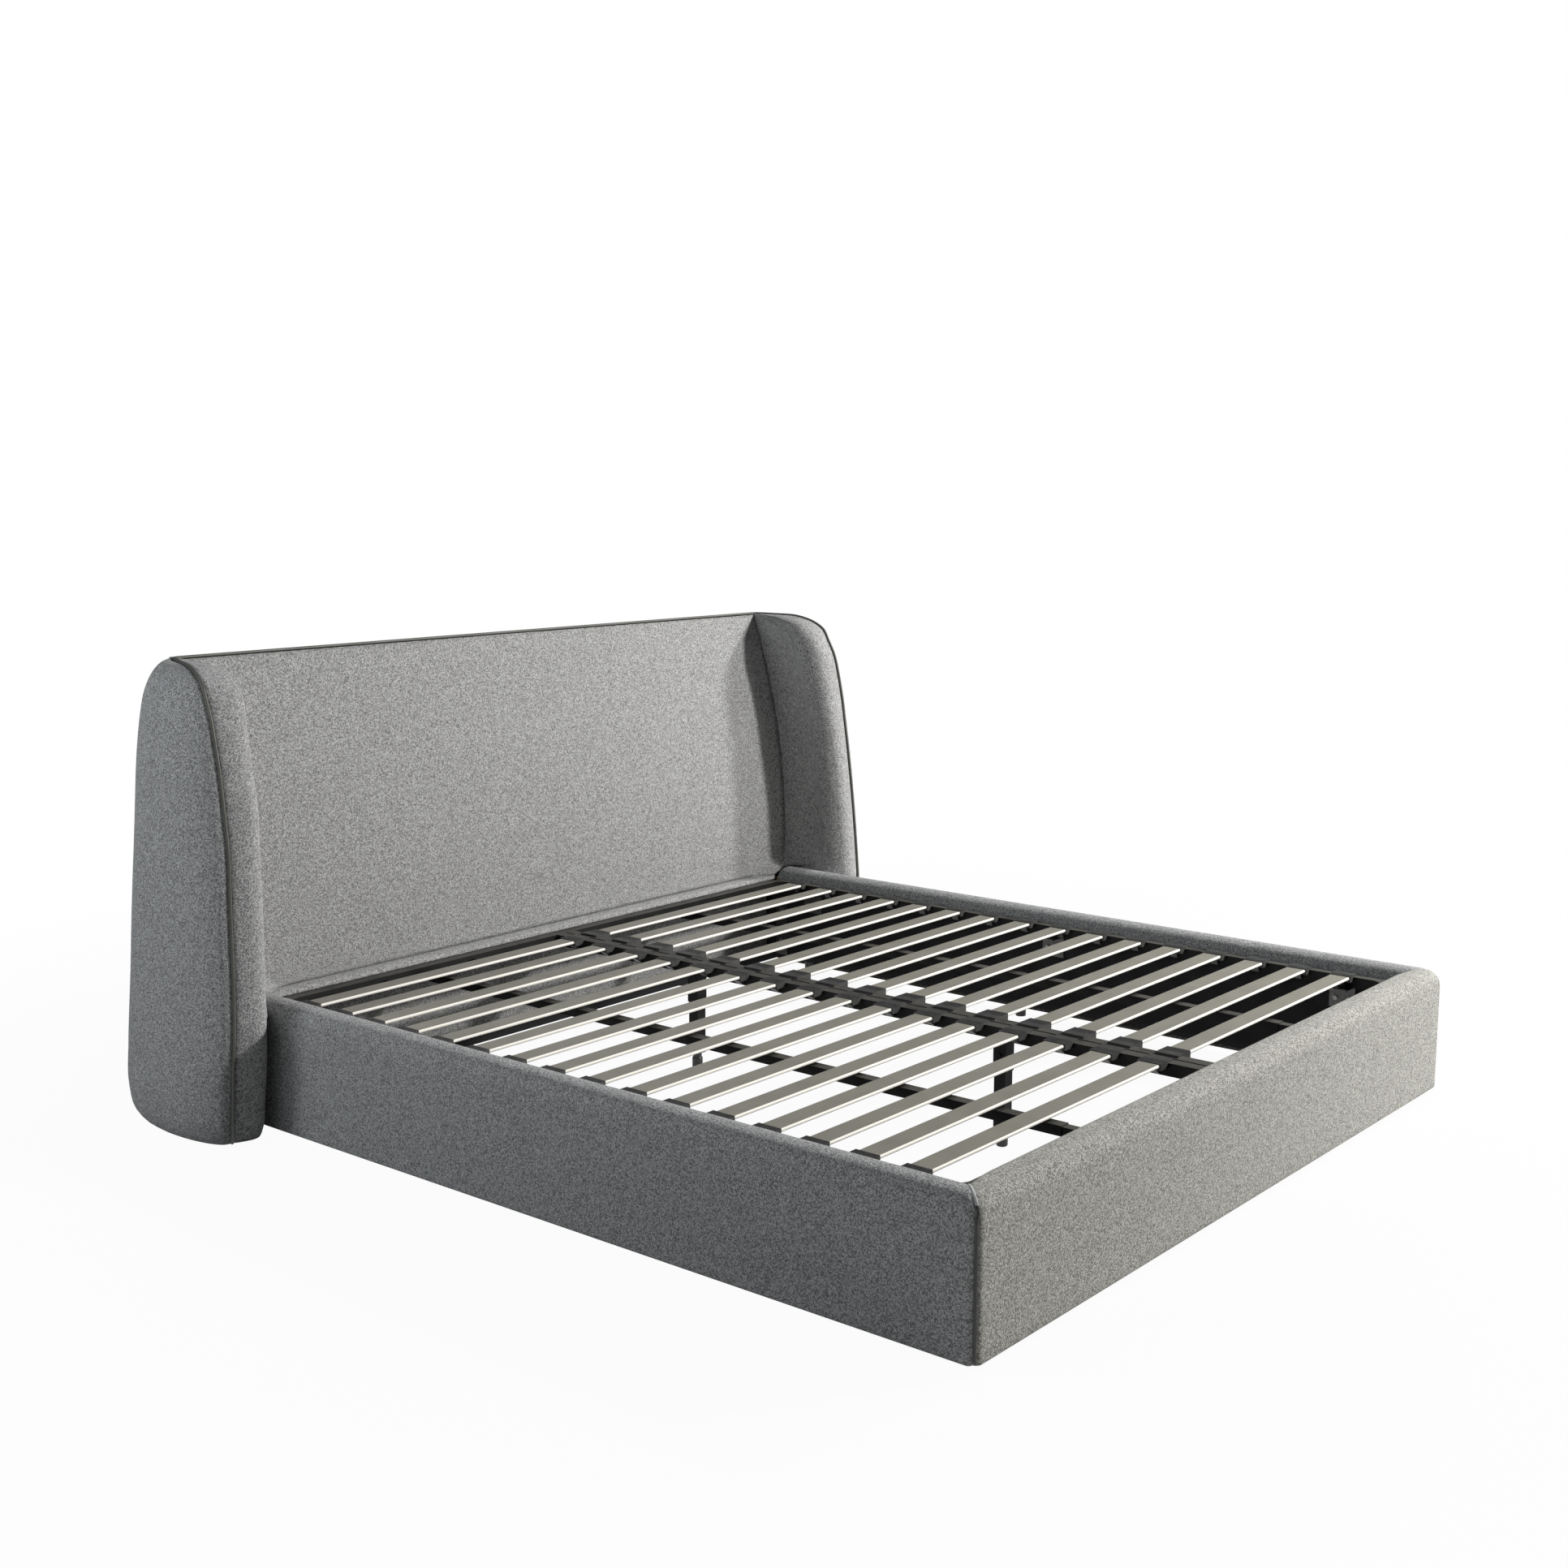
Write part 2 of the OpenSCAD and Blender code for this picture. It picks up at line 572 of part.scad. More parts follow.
// middle supports under the slats, with a narrower spigot at the foot end
mid_x = frame_x / 2 + 2;
mid_w = 28;
mid_h = 22;
mid_top = frame_top - 18;
splice_y = frame_foot + 92;
module mid_bar_r() {
    tube_y(splice_y, spine_y1, mid_x - mid_w / 2, mid_w, mid_h, mid_top - mid_h);
}

module mid_bar_right() {
    color("dimgrey") mid_bar_r();
}

module mid_bar_left() {
    color("dimgrey") mirror([1, 0, 0]) mid_bar_r();
}

module bar_spigots() {
    color("dimgrey") both()
        box(mid_x - mid_w / 2 + wall + fit, mid_x + mid_w / 2 - wall - fit, spine_y0, splice_y + 60,
            mid_top - mid_h + wall + fit, mid_top - wall - fit);
}

// slats in two columns, each end in a holder on a rail
slat_top = frame_top + 3;
slat_bot = slat_top - slat_t;
slat_y0 = frame_head - tube - 76.5;
slat_n = floor((slat_y0 - frame_foot - tube - 60) / slat_pitch) + 1;
slat_ys = [for (i = [0:slat_n - 1]) slat_y0 - i * slat_pitch];
slat_x0 = spine_w / 2 + 3;
slat_x1 = frame_x - tube - 3;
module slats_r() {
    for (y = slat_ys) {
        box(slat_x0, slat_x1, y - slat_w / 2 + slat_t / 2, y + slat_w / 2 - slat_t / 2, slat_bot, slat_top);
        for (s = [-1, 1]) translate([slat_x0, y + s * (slat_w - slat_t) / 2, slat_bot + slat_t / 2])
            rotate([0, 90, 0]) cylinder(h = slat_x1 - slat_x0, r = slat_t / 2);
    }
}

module slats_right() {
    color("wheat") slats_r();
}

module slats_left() {
    color("wheat") mirror([1, 0, 0]) slats_r();
}

// holder: x=0 is the rail's face, the slat comes in from -x
hold_in = 34;
hold_out = 20;
hold_w = 58;
tongue = 18;
rib = 4;
module holder(reach, hold_l) {
    translate([0, 0, slat_bot]) {
        difference() {
            box(-hold_l, -fit, -hold_w / 2, hold_w / 2, -6, slat_t + 2);
            box(-hold_l - 1, -2.9, -slat_w / 2 - fit, slat_w / 2 + fit, -fit, slat_t + fit);
            for (x = [-hold_l + rib : rib : -rib]) box(x, x + 1.6, -hold_w / 2 - 1, hold_w / 2 + 1, slat_t + 1.1, slat_t + 3);
        }
        box(-fit, reach, -hold_w / 2, hold_w / 2, 5 + fit, slat_t + 2);
        translate([0, 10, 0]) rotate([90, 0, 0]) linear_extrude(20) polygon([[-fit, -6], [-fit, -22], [-5, -22], [-hold_l + 8, -6]]);
    }
}

module holders_outer_r() {
    for (y = slat_ys) translate([frame_x - tube, y, 0]) holder(tongue, hold_out);
}

module holders_inner_r() {
    for (y = slat_ys) translate([spine_w / 2, y, 0]) mirror([1, 0, 0]) holder(tongue + 4, hold_in);
}

module holders_outer_right() {
    color("black") holders_outer_r();
}

module holders_outer_left() {
    color("black") mirror([1, 0, 0]) holders_outer_r();
}

module holders_inner_right() {
    color("black") holders_inner_r();
}

module holders_inner_left() {
    color("black") mirror([1, 0, 0]) holders_inner_r();
}

// brackets that carry the frame on the side rails
brack_ys = [frame_head - 139, (frame_head + frame_foot) / 2, frame_foot + 150];
brack_w = 70;
module frame_brackets() {
    color("gainsboro") both() for (y = brack_ys) {
        difference() {
            union() {
                box(frame_x - tube - 32, rail_in - fit, y - brack_w / 2, y + brack_w / 2, frame_bot - 4 - fit, frame_bot - fit);
                box(rail_in - 4, rail_in - fit, y - brack_w / 2, y + brack_w / 2, frame_bot - 65, frame_bot - fit);
            }
            translate([frame_x - tube / 2, y, frame_bot - 6]) cylinder(h = 8, r = 4.2);
            translate([frame_x - tube - 16, y, frame_bot - 6]) cylinder(h = 8, r = 7);
            for (s = [-1, 1]) translate([rail_in - 6, y + 18 * s, frame_bot - 40]) rotate([0, 90, 0]) cylinder(h = 8, r = 3.3);
        }
    }
}

module bracket_bolts() {
    color("silver") both() for (y = brack_ys) {
        translate([frame_x - tube / 2, y, frame_bot - 9]) cylinder(h = 5 - 2 * fit, r = 7.5);
        translate([frame_x - tube / 2, y, frame_bot - 6]) cylinder(h = 6 - fit, r = 4);
        for (s = [-1, 1]) translate([rail_in - 8, y + 18 * s, frame_bot - 40]) rotate([0, 90, 0]) {
            cylinder(h = 4 - 2 * fit, r = 6);
            cylinder(h = 8 - fit, r = 3.2);
        }
    }
}

// plates that join the side rails to the headboard, and the foot corners
plate_y = y_ledge - 50;
module corner_plates() {
    color("gainsboro") both() {
        difference() {
            box(rail_in - 4, rail_in - fit, plate_y, plate_y + 44, 50, 215);
            for (z = [97, 200]) translate([rail_in - 6, plate_y + 22, z]) rotate([0, 90, 0]) cylinder(h = 8, r = 4.2);
        }
        difference() {
            box(rail_in - 4, rail_in - fit, y_well + fit, y_well + 50, 50, 215);
            for (z = [97, 200]) translate([rail_in - 6, y_well + 28, z]) rotate([0, 90, 0]) cylinder(h = 8, r = 4.2);
        }
    }
}

module corner_bolts() {
    color("silver") both() for (y = [plate_y + 22, y_well + 28]) for (z = [97, 200])
        translate([rail_in - 8, y, z]) rotate([0, 90, 0]) {
            cylinder(h = 4 - 2 * fit, r = 7);
            cylinder(h = 8 - fit, r = 4);
        }
}

// centre legs
leg_mid = (frame_head + frame_foot) / 2 + 16;
leg_y = [leg_mid + leg_off, leg_mid - leg_off];
sleeve_w = leg_w + 2 * wall + 2 * fit;
sleeve_bot = frame_bot - 83;
leg_top = frame_bot - 3;
bolt_z = frame_bot - 43;
module square_tube(w, t, z0, z1) {
    difference() {
        box(-w / 2, w / 2, -w / 2, w / 2, z0, z1);
        box(-w / 2 + t, w / 2 - t, -w / 2 + t, w / 2 - t, z0 - 1, z1 + 1);
        translate([-w, 0, bolt_z]) rotate([0, 90, 0]) cylinder(h = 2 * w, r = 3.1);
    }
}

module leg_sockets() {
    color("darkgrey") for (y = leg_y) translate([0, y, 0]) {
        square_tube(sleeve_w, wall, sleeve_bot, frame_bot - 3);
        difference() {
            box(-30, 30, -30, 30, frame_bot - 3, frame_bot - fit);
            translate([0, 0, frame_bot - 4]) cylinder(h = 5, r = 3.1);
        }
    }
}

module one_leg() {
    square_tube(leg_w, 1.5, foot_h, leg_top - fit);
}

module centre_leg_head() {
    color("darkgrey") translate([0, leg_y[0], 0]) one_leg();
}

module centre_leg_foot() {
    color("darkgrey") translate([0, leg_y[1], 0]) one_leg();
}

module leg_bolts() {
    color("silver") for (y = leg_y) translate([-sleeve_w / 2 - 4, y, bolt_z]) rotate([0, 90, 0]) {
        cylinder(h = 4 - fit, r = 5.5);
        cylinder(h = sleeve_w + 8, r = 3);
        translate([0, 0, sleeve_w + 4 + fit]) cylinder(h = 4 - fit, r = 5.5);
    }
}

stem_r = 5;
plug_w = leg_w - 3 - 2 * fit;
module leg_plugs() {
    color("black") for (y = leg_y) translate([0, y, 0]) difference() {
        box(-plug_w / 2, plug_w / 2, -plug_w / 2, plug_w / 2, foot_h, foot_h + 30);
        translate([0, 0, foot_h - 1]) cylinder(h = 32, r = stem_r + 0.05);
    }
}

module level_foot() {
    rotate_extrude() polygon([[0, 0], [foot_r - 4, 0], [foot_r - 1.2, 1.4], [foot_r, 4.5], [foot_r, foot_h - 15],
        [foot_r - 2.5, foot_h - 11], [foot_r - 2.5, foot_h - fit], [stem_r, foot_h - fit], [stem_r, foot_h + 50], [0, foot_h + 50]]);
}

module level_foot_head() {
    color("black") translate([0, leg_y[0], 0]) level_foot();
}

module level_foot_foot() {
    color("black") translate([0, leg_y[1], 0]) level_foot();
}

front_pad();
wing_pad_left();
wing_pad_right();
wing_shell_left();
wing_shell_right();
back_panel();
piping();
head_ledge();
lower_front_panel();
base_strip();
head_formers();
head_battens();
wing_ribs_left();
wing_ribs_right();
wing_posts();
head_glides();
side_rail_left();
side_rail_right();
side_cover_left();
side_cover_right();
side_lining_left();
side_lining_right();
foot_rail();
foot_cover();
foot_lining();
rail_glides();
frame_head_tube();
frame_foot_tube();
frame_tube_left();
frame_tube_right();
centre_rail();
mid_bar_left();
mid_bar_right();
bar_spigots();
slats_left();
slats_right();
holders_outer_left();
holders_outer_right();
holders_inner_left();
holders_inner_right();
frame_brackets();
bracket_bolts();
corner_plates();
corner_bolts();
leg_sockets();
leg_bolts();
centre_leg_head();
centre_leg_foot();
leg_plugs();
level_foot_head();
level_foot_foot();
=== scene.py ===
import math

import bmesh
import bpy
from mathutils import Matrix, Vector, noise


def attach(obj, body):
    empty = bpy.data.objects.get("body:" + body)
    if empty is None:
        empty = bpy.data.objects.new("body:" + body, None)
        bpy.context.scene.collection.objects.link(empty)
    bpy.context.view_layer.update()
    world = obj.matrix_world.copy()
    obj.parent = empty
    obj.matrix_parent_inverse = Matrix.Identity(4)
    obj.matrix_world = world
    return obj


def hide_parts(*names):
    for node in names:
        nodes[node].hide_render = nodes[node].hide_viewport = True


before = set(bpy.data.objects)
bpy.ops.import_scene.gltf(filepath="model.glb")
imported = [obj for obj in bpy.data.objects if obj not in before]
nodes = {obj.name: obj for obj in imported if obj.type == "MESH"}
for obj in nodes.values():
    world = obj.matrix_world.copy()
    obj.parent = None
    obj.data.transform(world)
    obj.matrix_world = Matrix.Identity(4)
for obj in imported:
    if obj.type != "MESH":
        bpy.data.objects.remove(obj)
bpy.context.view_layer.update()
BED = "bed"
MM = 0.001

# Sizes of the bed in millimetres, as in the part's source.
WELL_HALF = 980
RAIL_OUT = 1060
RAIL_TOP = 330
RAIL_ROUND = 36
HEM_ROUND = 9
RAIL_END_ROUND = 40
END_HEM = 22
HEAD_END_ROUND = 26
RAIL_CLEAR = 16
FLAP_BOTTOM = 290
CORE_BOTTOM = 40
Y_FOOT = -1230
Y_WELL = -1150
Y_LEDGE = 921
Y_PANEL = 966
Y_BACK = 1230
HEAD_TOP = 1134
FACE_LEAN = 124
BACK_LEAN = 0.05
LEAN_FROM = 100
LEDGE_TOP = 306
CORD_RADIUS = 3.6
SLOT = 3.7
ROLL = 99
HEAD_BOTTOM = 6
SEAM_FOOT = LEDGE_TOP + 0.5
FACE_FOOT = 0.354 * HEAD_TOP
SEAM_ROUND = 90
BOTTOM_ROUND = 76
BACK_JOIN = 900
SIDE_HEAD_END = 924
MITRE_ROUND = 14
MITRE_TURN = math.radians(65)
MITRE_IN = MITRE_ROUND * (1 - math.cos(MITRE_TURN))
PAD_CLOTH = 4
COVER_CLOTH = 3
LEDGE_LINING = 2
LINING_CLOTH = 1.5
TUCK = 10
SIDES = (("right", False), ("left", True))

# Width of one thread of the weave, in metres.
THREAD = 0.0025


# Shaders

class Wire:
    """A socket that takes Python's arithmetic."""

    def __init__(self, finish, socket):
        self.finish = finish
        self.socket = socket

    def _math(self, operation, a, b):
        return self.finish.add("ShaderNodeMath", {"operation": operation}, {0: a, 1: b})

    def __add__(self, other):
        return self._math("ADD", self, other)

    def __radd__(self, other):
        return self._math("ADD", other, self)

    def __sub__(self, other):
        return self._math("SUBTRACT", self, other)

    def __rsub__(self, other):
        return self._math("SUBTRACT", other, self)

    def __mul__(self, other):
        return self._math("MULTIPLY", self, other)

    def __rmul__(self, other):
        return self._math("MULTIPLY", other, self)

    def __gt__(self, other):
        return self._math("GREATER_THAN", self, other)

    def __mod__(self, other):
        return self._math("FLOORED_MODULO", self, other)

    def step(self):
        return self._math("FLOOR", self, 0)

    def wave(self):
        return self._math("SINE", self, 0)

    def size(self):
        return self._math("ABSOLUTE", self, 0)


class Finish:
    """A material that is built node by node."""

    def __init__(self, name):
        self.material = bpy.data.materials.new(name)
        self.material.use_nodes = True
        self.tree = self.material.node_tree
        self.tree.nodes.clear()

    def add(self, kind, settings=None, values=None, out=0):
        made = self.tree.nodes.new(kind)
        for key, value in (settings or {}).items():
            if key == "stops":
                ramp = made.color_ramp
                for place, colour in value[1:-1]:
                    ramp.elements.new(place).color = (*colour, 1)
                ramp.elements[0].position, ramp.elements[-1].position = value[0][0], value[-1][0]
                ramp.elements[0].color, ramp.elements[-1].color = (*value[0][1], 1), (*value[-1][1], 1)
            else:
                setattr(made, key, value)
        for key, value in (values or {}).items():
            if isinstance(value, Wire):
                self.tree.links.new(value.socket, made.inputs[key])
            else:
                made.inputs[key].default_value = value
        return Wire(self, made.outputs[out])

    def coords(self):
        return self.add("ShaderNodeTexCoord", out="Object")

    def cloth_coords(self):
        return self.add("ShaderNodeUVMap", {"uv_map": "cloth"})

    def split(self, vector):
        return [self.add("ShaderNodeSeparateXYZ", values={0: vector}, out=i) for i in range(3)]

    def join(self, x, y, z=0.0):
        return self.add("ShaderNodeCombineXYZ", values={0: x, 1: y, 2: z})

    def grain(self, vector, scale, detail=2.0, rough=0.5):
        return self.add("ShaderNodeTexNoise", {"noise_dimensions": "3D"},
                        {"Vector": vector, "Scale": scale, "Detail": detail, "Roughness": rough})

    def thread(self, x, y):
        """An even random value for each whole pair of numbers."""
        return self.add("ShaderNodeTexWhiteNoise", {"noise_dimensions": "2D"},
                        {"Vector": self.join(x, y)}, out="Value")

    def ramp(self, value, stops):
        return self.add("ShaderNodeValToRGB", {"stops": stops}, {0: value})

    def mix(self, factor, a, b):
        """One colour laid over another. The Mix node's colour sockets are 6 and 7, and its colour output is 2."""
        made = self.tree.nodes.new("ShaderNodeMix")
        made.data_type = "RGBA"
        for key, value in ((0, factor), (6, a), (7, b)):
            if isinstance(value, Wire):
                self.tree.links.new(value.socket, made.inputs[key])
            elif key == 0:
                made.inputs[key].default_value = value
            else:
                made.inputs[key].default_value = (*value, 1)
        return Wire(self, made.outputs[2])

    def bump(self, height, strength, distance):
        return self.add("ShaderNodeBump", values={"Height": height, "Strength": strength, "Distance": distance})

    def surface(self, **values):
        names = {"colour": "Base Color", "roughness": "Roughness", "metallic": "Metallic", "normal": "Normal",
                 "sheen": "Sheen Weight", "sheen_rough": "Sheen Roughness", "specular": "Specular IOR Level"}
        shader = self.add("ShaderNodeBsdfPrincipled", values={names[k]: v for k, v in values.items()})
        self.add_output(shader)
        return self.material

    def add_output(self, shader):
        out = self.tree.nodes.new("ShaderNodeOutputMaterial")
        self.tree.links.new(shader.socket, out.inputs[0])


def woven_grey(name, dark, mid, light):
    """Coarse heathered plain weave. Warp and weft show by turns, each crossing has its own light or dark yarn, and
    the gaps between yarns carry painted shade.
    """
    f = Finish(name)
    u, v, _ = f.split(f.cloth_coords())
    across, up = u * (1 / THREAD), v * (1 / THREAD)
    column, row = across.step(), up.step()
    over = (column + row) % 2
    warp = f.thread(column, row)
    weft = f.thread(column + 5000.0, row)
    fuzz = f.grain(f.join(u, v), 700.0, 2.0, 0.6)
    dome = ((across * math.pi).wave() * (up * math.pi).wave()).size()
    yarn = warp + (weft - warp) * over
    # The dome lightens the middle of each crossing and darkens the gaps between yarns: painted shade. In the bump it
    # is the yarns' own relief.
    tone = yarn * 0.8 + fuzz * 0.2 + dome * 0.2 - 0.08
    colour = f.ramp(tone, [(0.0, dark), (0.5, mid), (1.0, light)])
    return f.surface(colour=colour, roughness=0.92, sheen=0.1, sheen_rough=0.5, specular=0.15,
                     normal=f.bump(dome * 0.8 + fuzz * 0.5 + yarn * 0.3, 0.6, 0.0014))


def smooth_piping(name, colour):
    """Smooth coated piping with a faint pebble and rubbed high places."""
    f = Finish(name)
    pebble = f.grain(f.coords(), 900.0, 2.0, 0.5)
    rub = f.grain(f.coords(), 25.0, 3.0, 0.6)
    tone = f.ramp(rub * 0.7 + pebble * 0.3, [(0.3, [c * 0.8 for c in colour]), (0.7, [c * 1.15 for c in colour])])
    return f.surface(colour=tone, roughness=rub * 0.2 + 0.42, normal=f.bump(pebble, 0.15, 0.0003))


def black_cloth(name):
    """Thin pressed lining cloth with a dimpled grid."""
    f = Finish(name)
    u, v, _ = f.split(f.cloth_coords())
    dimple = (u * 1100.0).wave() * (v * 1100.0).wave()
    fuzz = f.grain(f.join(u, v), 300.0, 3.0, 0.6)
    colour = f.ramp(fuzz, [(0.25, (0.008, 0.008, 0.009)), (0.8, (0.032, 0.032, 0.034))])
    return f.surface(colour=colour, roughness=0.85, specular=0.25, normal=f.bump(dimple * 0.5 + fuzz, 0.4, 0.0006))


def raw_wood(name, dark, light, axis, stretch=14.0):
    """Sawn timber with long grain along one axis."""
    f = Finish(name)
    place = list(f.split(f.coords()))
    place[axis] = place[axis] * (1.0 / stretch)
    rings = f.grain(f.join(*place), 55.0, 4.0, 0.6)
    fibre = f.grain(f.join(*place), 420.0, 2.0, 0.6)
    colour = f.ramp(rings * 0.7 + fibre * 0.3, [(0.3, dark), (0.7, light)])
    return f.surface(colour=colour, roughness=0.68, normal=f.bump(fibre, 0.25, 0.0004))


def slat_finish(name):
    """Laminated slat: a printed grip film on the faces, pale wood on the edges."""
    f = Finish(name)
    x, y, z = f.split(f.coords())
    facing = f.split(f.add("ShaderNodeNewGeometry", out="Normal"))[2]
    film = facing.size() > 0.95
    lines = (x * (2 * math.pi / 0.0043)).wave()
    rows = (y * (2 * math.pi / 0.0045)).wave()
    dots = lines * 0.65 + rows * lines * 0.35
    cloud = f.grain(f.coords(), 14.0, 3.0, 0.5)
    film_colour = f.ramp(dots * 0.35 + cloud * 0.3 + 0.35, [(0.1, (0.13, 0.125, 0.105)), (0.9, (0.33, 0.32, 0.275))])
    ply = f.grain(f.join(x * 3.0, y * 40.0, z * 900.0), 1.0, 3.0, 0.6)
    edge_colour = f.ramp(ply, [(0.3, (0.90, 0.87, 0.79)), (0.7, (0.95, 0.93, 0.88))])
    rough = film * -0.25 + 0.72
    return f.surface(colour=f.mix(film, edge_colour, film_colour), roughness=rough,
                     normal=f.bump(dots * 0.5 + ply * 0.5, 0.25, 0.0003))


def black_steel(name):
    """Powder-coated tube with faint orange peel, dusty wear, and painted light on faces that point up."""
    f = Finish(name)
    peel = f.grain(f.coords(), 700.0, 2.0, 0.5)
    dust = f.grain(f.coords(), 7.0, 4.0, 0.6)
    # Faces that point up are painted lighter: painted light from above.
    top = f.split(f.add("ShaderNodeNewGeometry", out="Normal"))[2] > 0.9
    colour = f.ramp(dust + top * 0.5, [(0.35, (0.006, 0.006, 0.006)), (0.75, (0.016, 0.016, 0.015)),
                                       (1.0, (0.074, 0.072, 0.066))])
    return f.surface(colour=colour, roughness=dust * 0.2 + 0.42, specular=0.14, normal=f.bump(peel, 0.12, 0.0003))


def black_plastic(name):
    """Moulded nylon with a fine spark texture."""
    f = Finish(name)
    spark = f.grain(f.coords(), 900.0, 3.0, 0.6)
    tone = f.grain(f.coords(), 40.0, 2.0, 0.5)
    colour = f.ramp(tone, [(0.3, (0.036, 0.036, 0.036)), (0.7, (0.056, 0.056, 0.055))])
    return f.surface(colour=colour, roughness=spark * 0.2 + 0.38, normal=f.bump(spark, 0.2, 0.0003))


def plated_steel(name, dark, light, rough):
    """Zinc-plated steel with a faint spangle."""
    f = Finish(name)
    spangle = f.grain(f.coords(), 90.0, 3.0, 0.6)
    brush = f.grain(f.coords(), 600.0, 2.0, 0.5)
    colour = f.ramp(spangle, [(0.3, dark), (0.7, light)])
    return f.surface(colour=colour, metallic=0.85, roughness=brush * 0.2 + rough, normal=f.bump(brush, 0.1, 0.0002))


FRONT_CLOTH = woven_grey("front_cloth", (0.105, 0.105, 0.107), (0.325, 0.325, 0.327), (0.60, 0.60, 0.595))
SHELL_CLOTH = woven_grey("shell_cloth", (0.095, 0.098, 0.101), (0.315, 0.320, 0.324), (0.59, 0.60, 0.60))
FOOT_CLOTH = woven_grey("foot_cloth", (0.105, 0.104, 0.096), (0.330, 0.326, 0.300), (0.61, 0.605, 0.57))
# The piping is a dark coated cord, darkened further to stand for the shade in the grooves beside it: partly painted
# shade.
PIPING_CLOTH = smooth_piping("piping_cloth", (0.085, 0.085, 0.075))
# The mitre's seam cord is a real seam, coloured near black to stand for the shade in the groove along it: partly
# painted shade.
SEAM_CORD_AND_SHADE = smooth_piping("seam_cord_and_shade", (0.045, 0.045, 0.043))
LINING = black_cloth("lining_cloth")
PLYWOOD = raw_wood("plywood", (0.45, 0.30, 0.16), (0.66, 0.50, 0.32), 2)
TIMBER = raw_wood("timber", (0.50, 0.33, 0.17), (0.72, 0.55, 0.34), 0)
SLAT = slat_finish("slat_laminate")
STEEL = black_steel("black_steel")
NYLON = black_plastic("black_nylon")
BRACKET = plated_steel("bracket_steel", (0.07, 0.07, 0.07), (0.13, 0.13, 0.125), 0.36)
BOLT = plated_steel("bolt_steel", (0.22, 0.22, 0.22), (0.36, 0.36, 0.35), 0.3)


def finish_node(name, material):
    mesh = nodes[name].data
    mesh.materials.clear()
    mesh.materials.append(material)


for name in ("head_formers", "wing_ribs_left", "wing_ribs_right"):
    finish_node(name, PLYWOOD)
for name in ("head_battens", "wing_posts", "side_rail_left", "side_rail_right", "foot_rail"):
    finish_node(name, TIMBER)
for name in ("slats_left", "slats_right"):
    finish_node(name, SLAT)
for name in ("holders_outer_left", "holders_outer_right", "holders_inner_left", "holders_inner_right",
             "head_glides", "rail_glides", "leg_plugs", "level_foot_head", "level_foot_foot"):
    finish_node(name, NYLON)
for name in ("frame_head_tube", "frame_foot_tube", "frame_tube_left", "frame_tube_right", "centre_rail",
             "mid_bar_left", "mid_bar_right", "bar_spigots", "leg_sockets", "centre_leg_head", "centre_leg_foot",
             "leg_bolts"):
    finish_node(name, STEEL)
for name in ("frame_brackets", "corner_plates"):
    finish_node(name, BRACKET)
for name in ("bracket_bolts", "corner_bolts"):
    finish_node(name, BOLT)


# Curves of the headboard, as in the part's source

EDGE = [(0, 108, -160), (0.027, 120, -180), (0.177, 130, -210), (0.265, 128, -218), (0.338, 123, -215),
        (0.48, 116, -205), (0.621, 106, -192), (0.76, 103, -171), (0.828, 102, -156), (0.896, 100, -136),
        (0.958, 94, -100), (0.977, 88, -70), (0.991, 76, -30), (0.998, 54, 53), (1, 18, FACE_LEAN + SLOT)]
LIP = [(0, 36, -163), (0.027, 43, -194), (0.177, 46, -221), (0.265, 47, -227), (0.43, 38, -216),
       (0.531, 31, -207), (0.705, 19, -188), (0.865, 10, -148), (0.937, 1, -123), (0.977, 4, -75), (0.991, 10, -20),
       (0.998, 16, 67), (1, 12, FACE_LEAN)]
SLOT_TURN = [(0, 0), (0.977, 0), (0.991, 15), (0.998, 26), (1, 58)]
SLOT_WIDE = [(0, 1), (0.998, 1), (1, 1.18)]
BULGE = [(0, 63), (0.089, 64), (0.22, 54.6), (0.62, 54.8), (0.8, 47.8), (0.885, 37.6), (1, 17)]
LOW_ROWS = [HEAD_BOTTOM + 2, HEAD_BOTTOM + 14, HEAD_BOTTOM + 38, LEAN_FROM, 200, SEAM_FOOT - 0.25]
HIGH_PARTS = [0, 0.05, 0.109, 0.213, 0.358, 0.479, 0.597, 0.685, 0.77, 0.849, 0.903, 0.943, 0.969, 0.988, 0.998, 1]
HIGH_ROWS = [SEAM_FOOT + p * (HEAD_TOP - SEAM_FOOT) for p in HIGH_PARTS]

def between(table, at, column=1):
    """A column of a table, at a place between its rows."""
    if at <= table[0][0]:
        return table[0][column]
    for a, b in zip(table, table[1:]):
        if at <= b[0]:
            return a[column] + (b[column] - a[column]) * (at - a[0]) / (b[0] - a[0])
    return table[-1][column]


def within(v):
    return max(0.0, min(1.0, v))


def roll_up(z):
    return within((z - HEAD_TOP + ROLL) / ROLL)


def roll_out(z):
    return math.sqrt(1 - roll_up(z) ** 2)


def bottom_in(z):
    return BOTTOM_ROUND - math.sqrt(BOTTOM_ROUND ** 2 - max(0, BOTTOM_ROUND - z + HEAD_BOTTOM) ** 2)


def face_y(z):
    return Y_PANEL + FACE_LEAN * (max(0, z - FACE_FOOT) / (HEAD_TOP - FACE_FOOT)) ** 2


# The seam of the front pad: parts of its upper run and lower bend, place from the middle, and depth.

def seam_u(z):
    return within((z - SEAM_FOOT - SEAM_ROUND) / (HEAD_TOP - SEAM_FOOT - SEAM_ROUND))


def seam_v(z):
    return within((SEAM_FOOT + SEAM_ROUND - z) / SEAM_ROUND)


def seam_x(z):
    return RAIL_OUT - 20 + 28 * seam_u(z) - 85 * (1 - math.sqrt(1 - seam_v(z) ** 2))


def seam_d(z):
    return 33 * (1 - seam_u(z) ** 2) + 7 * seam_v(z)


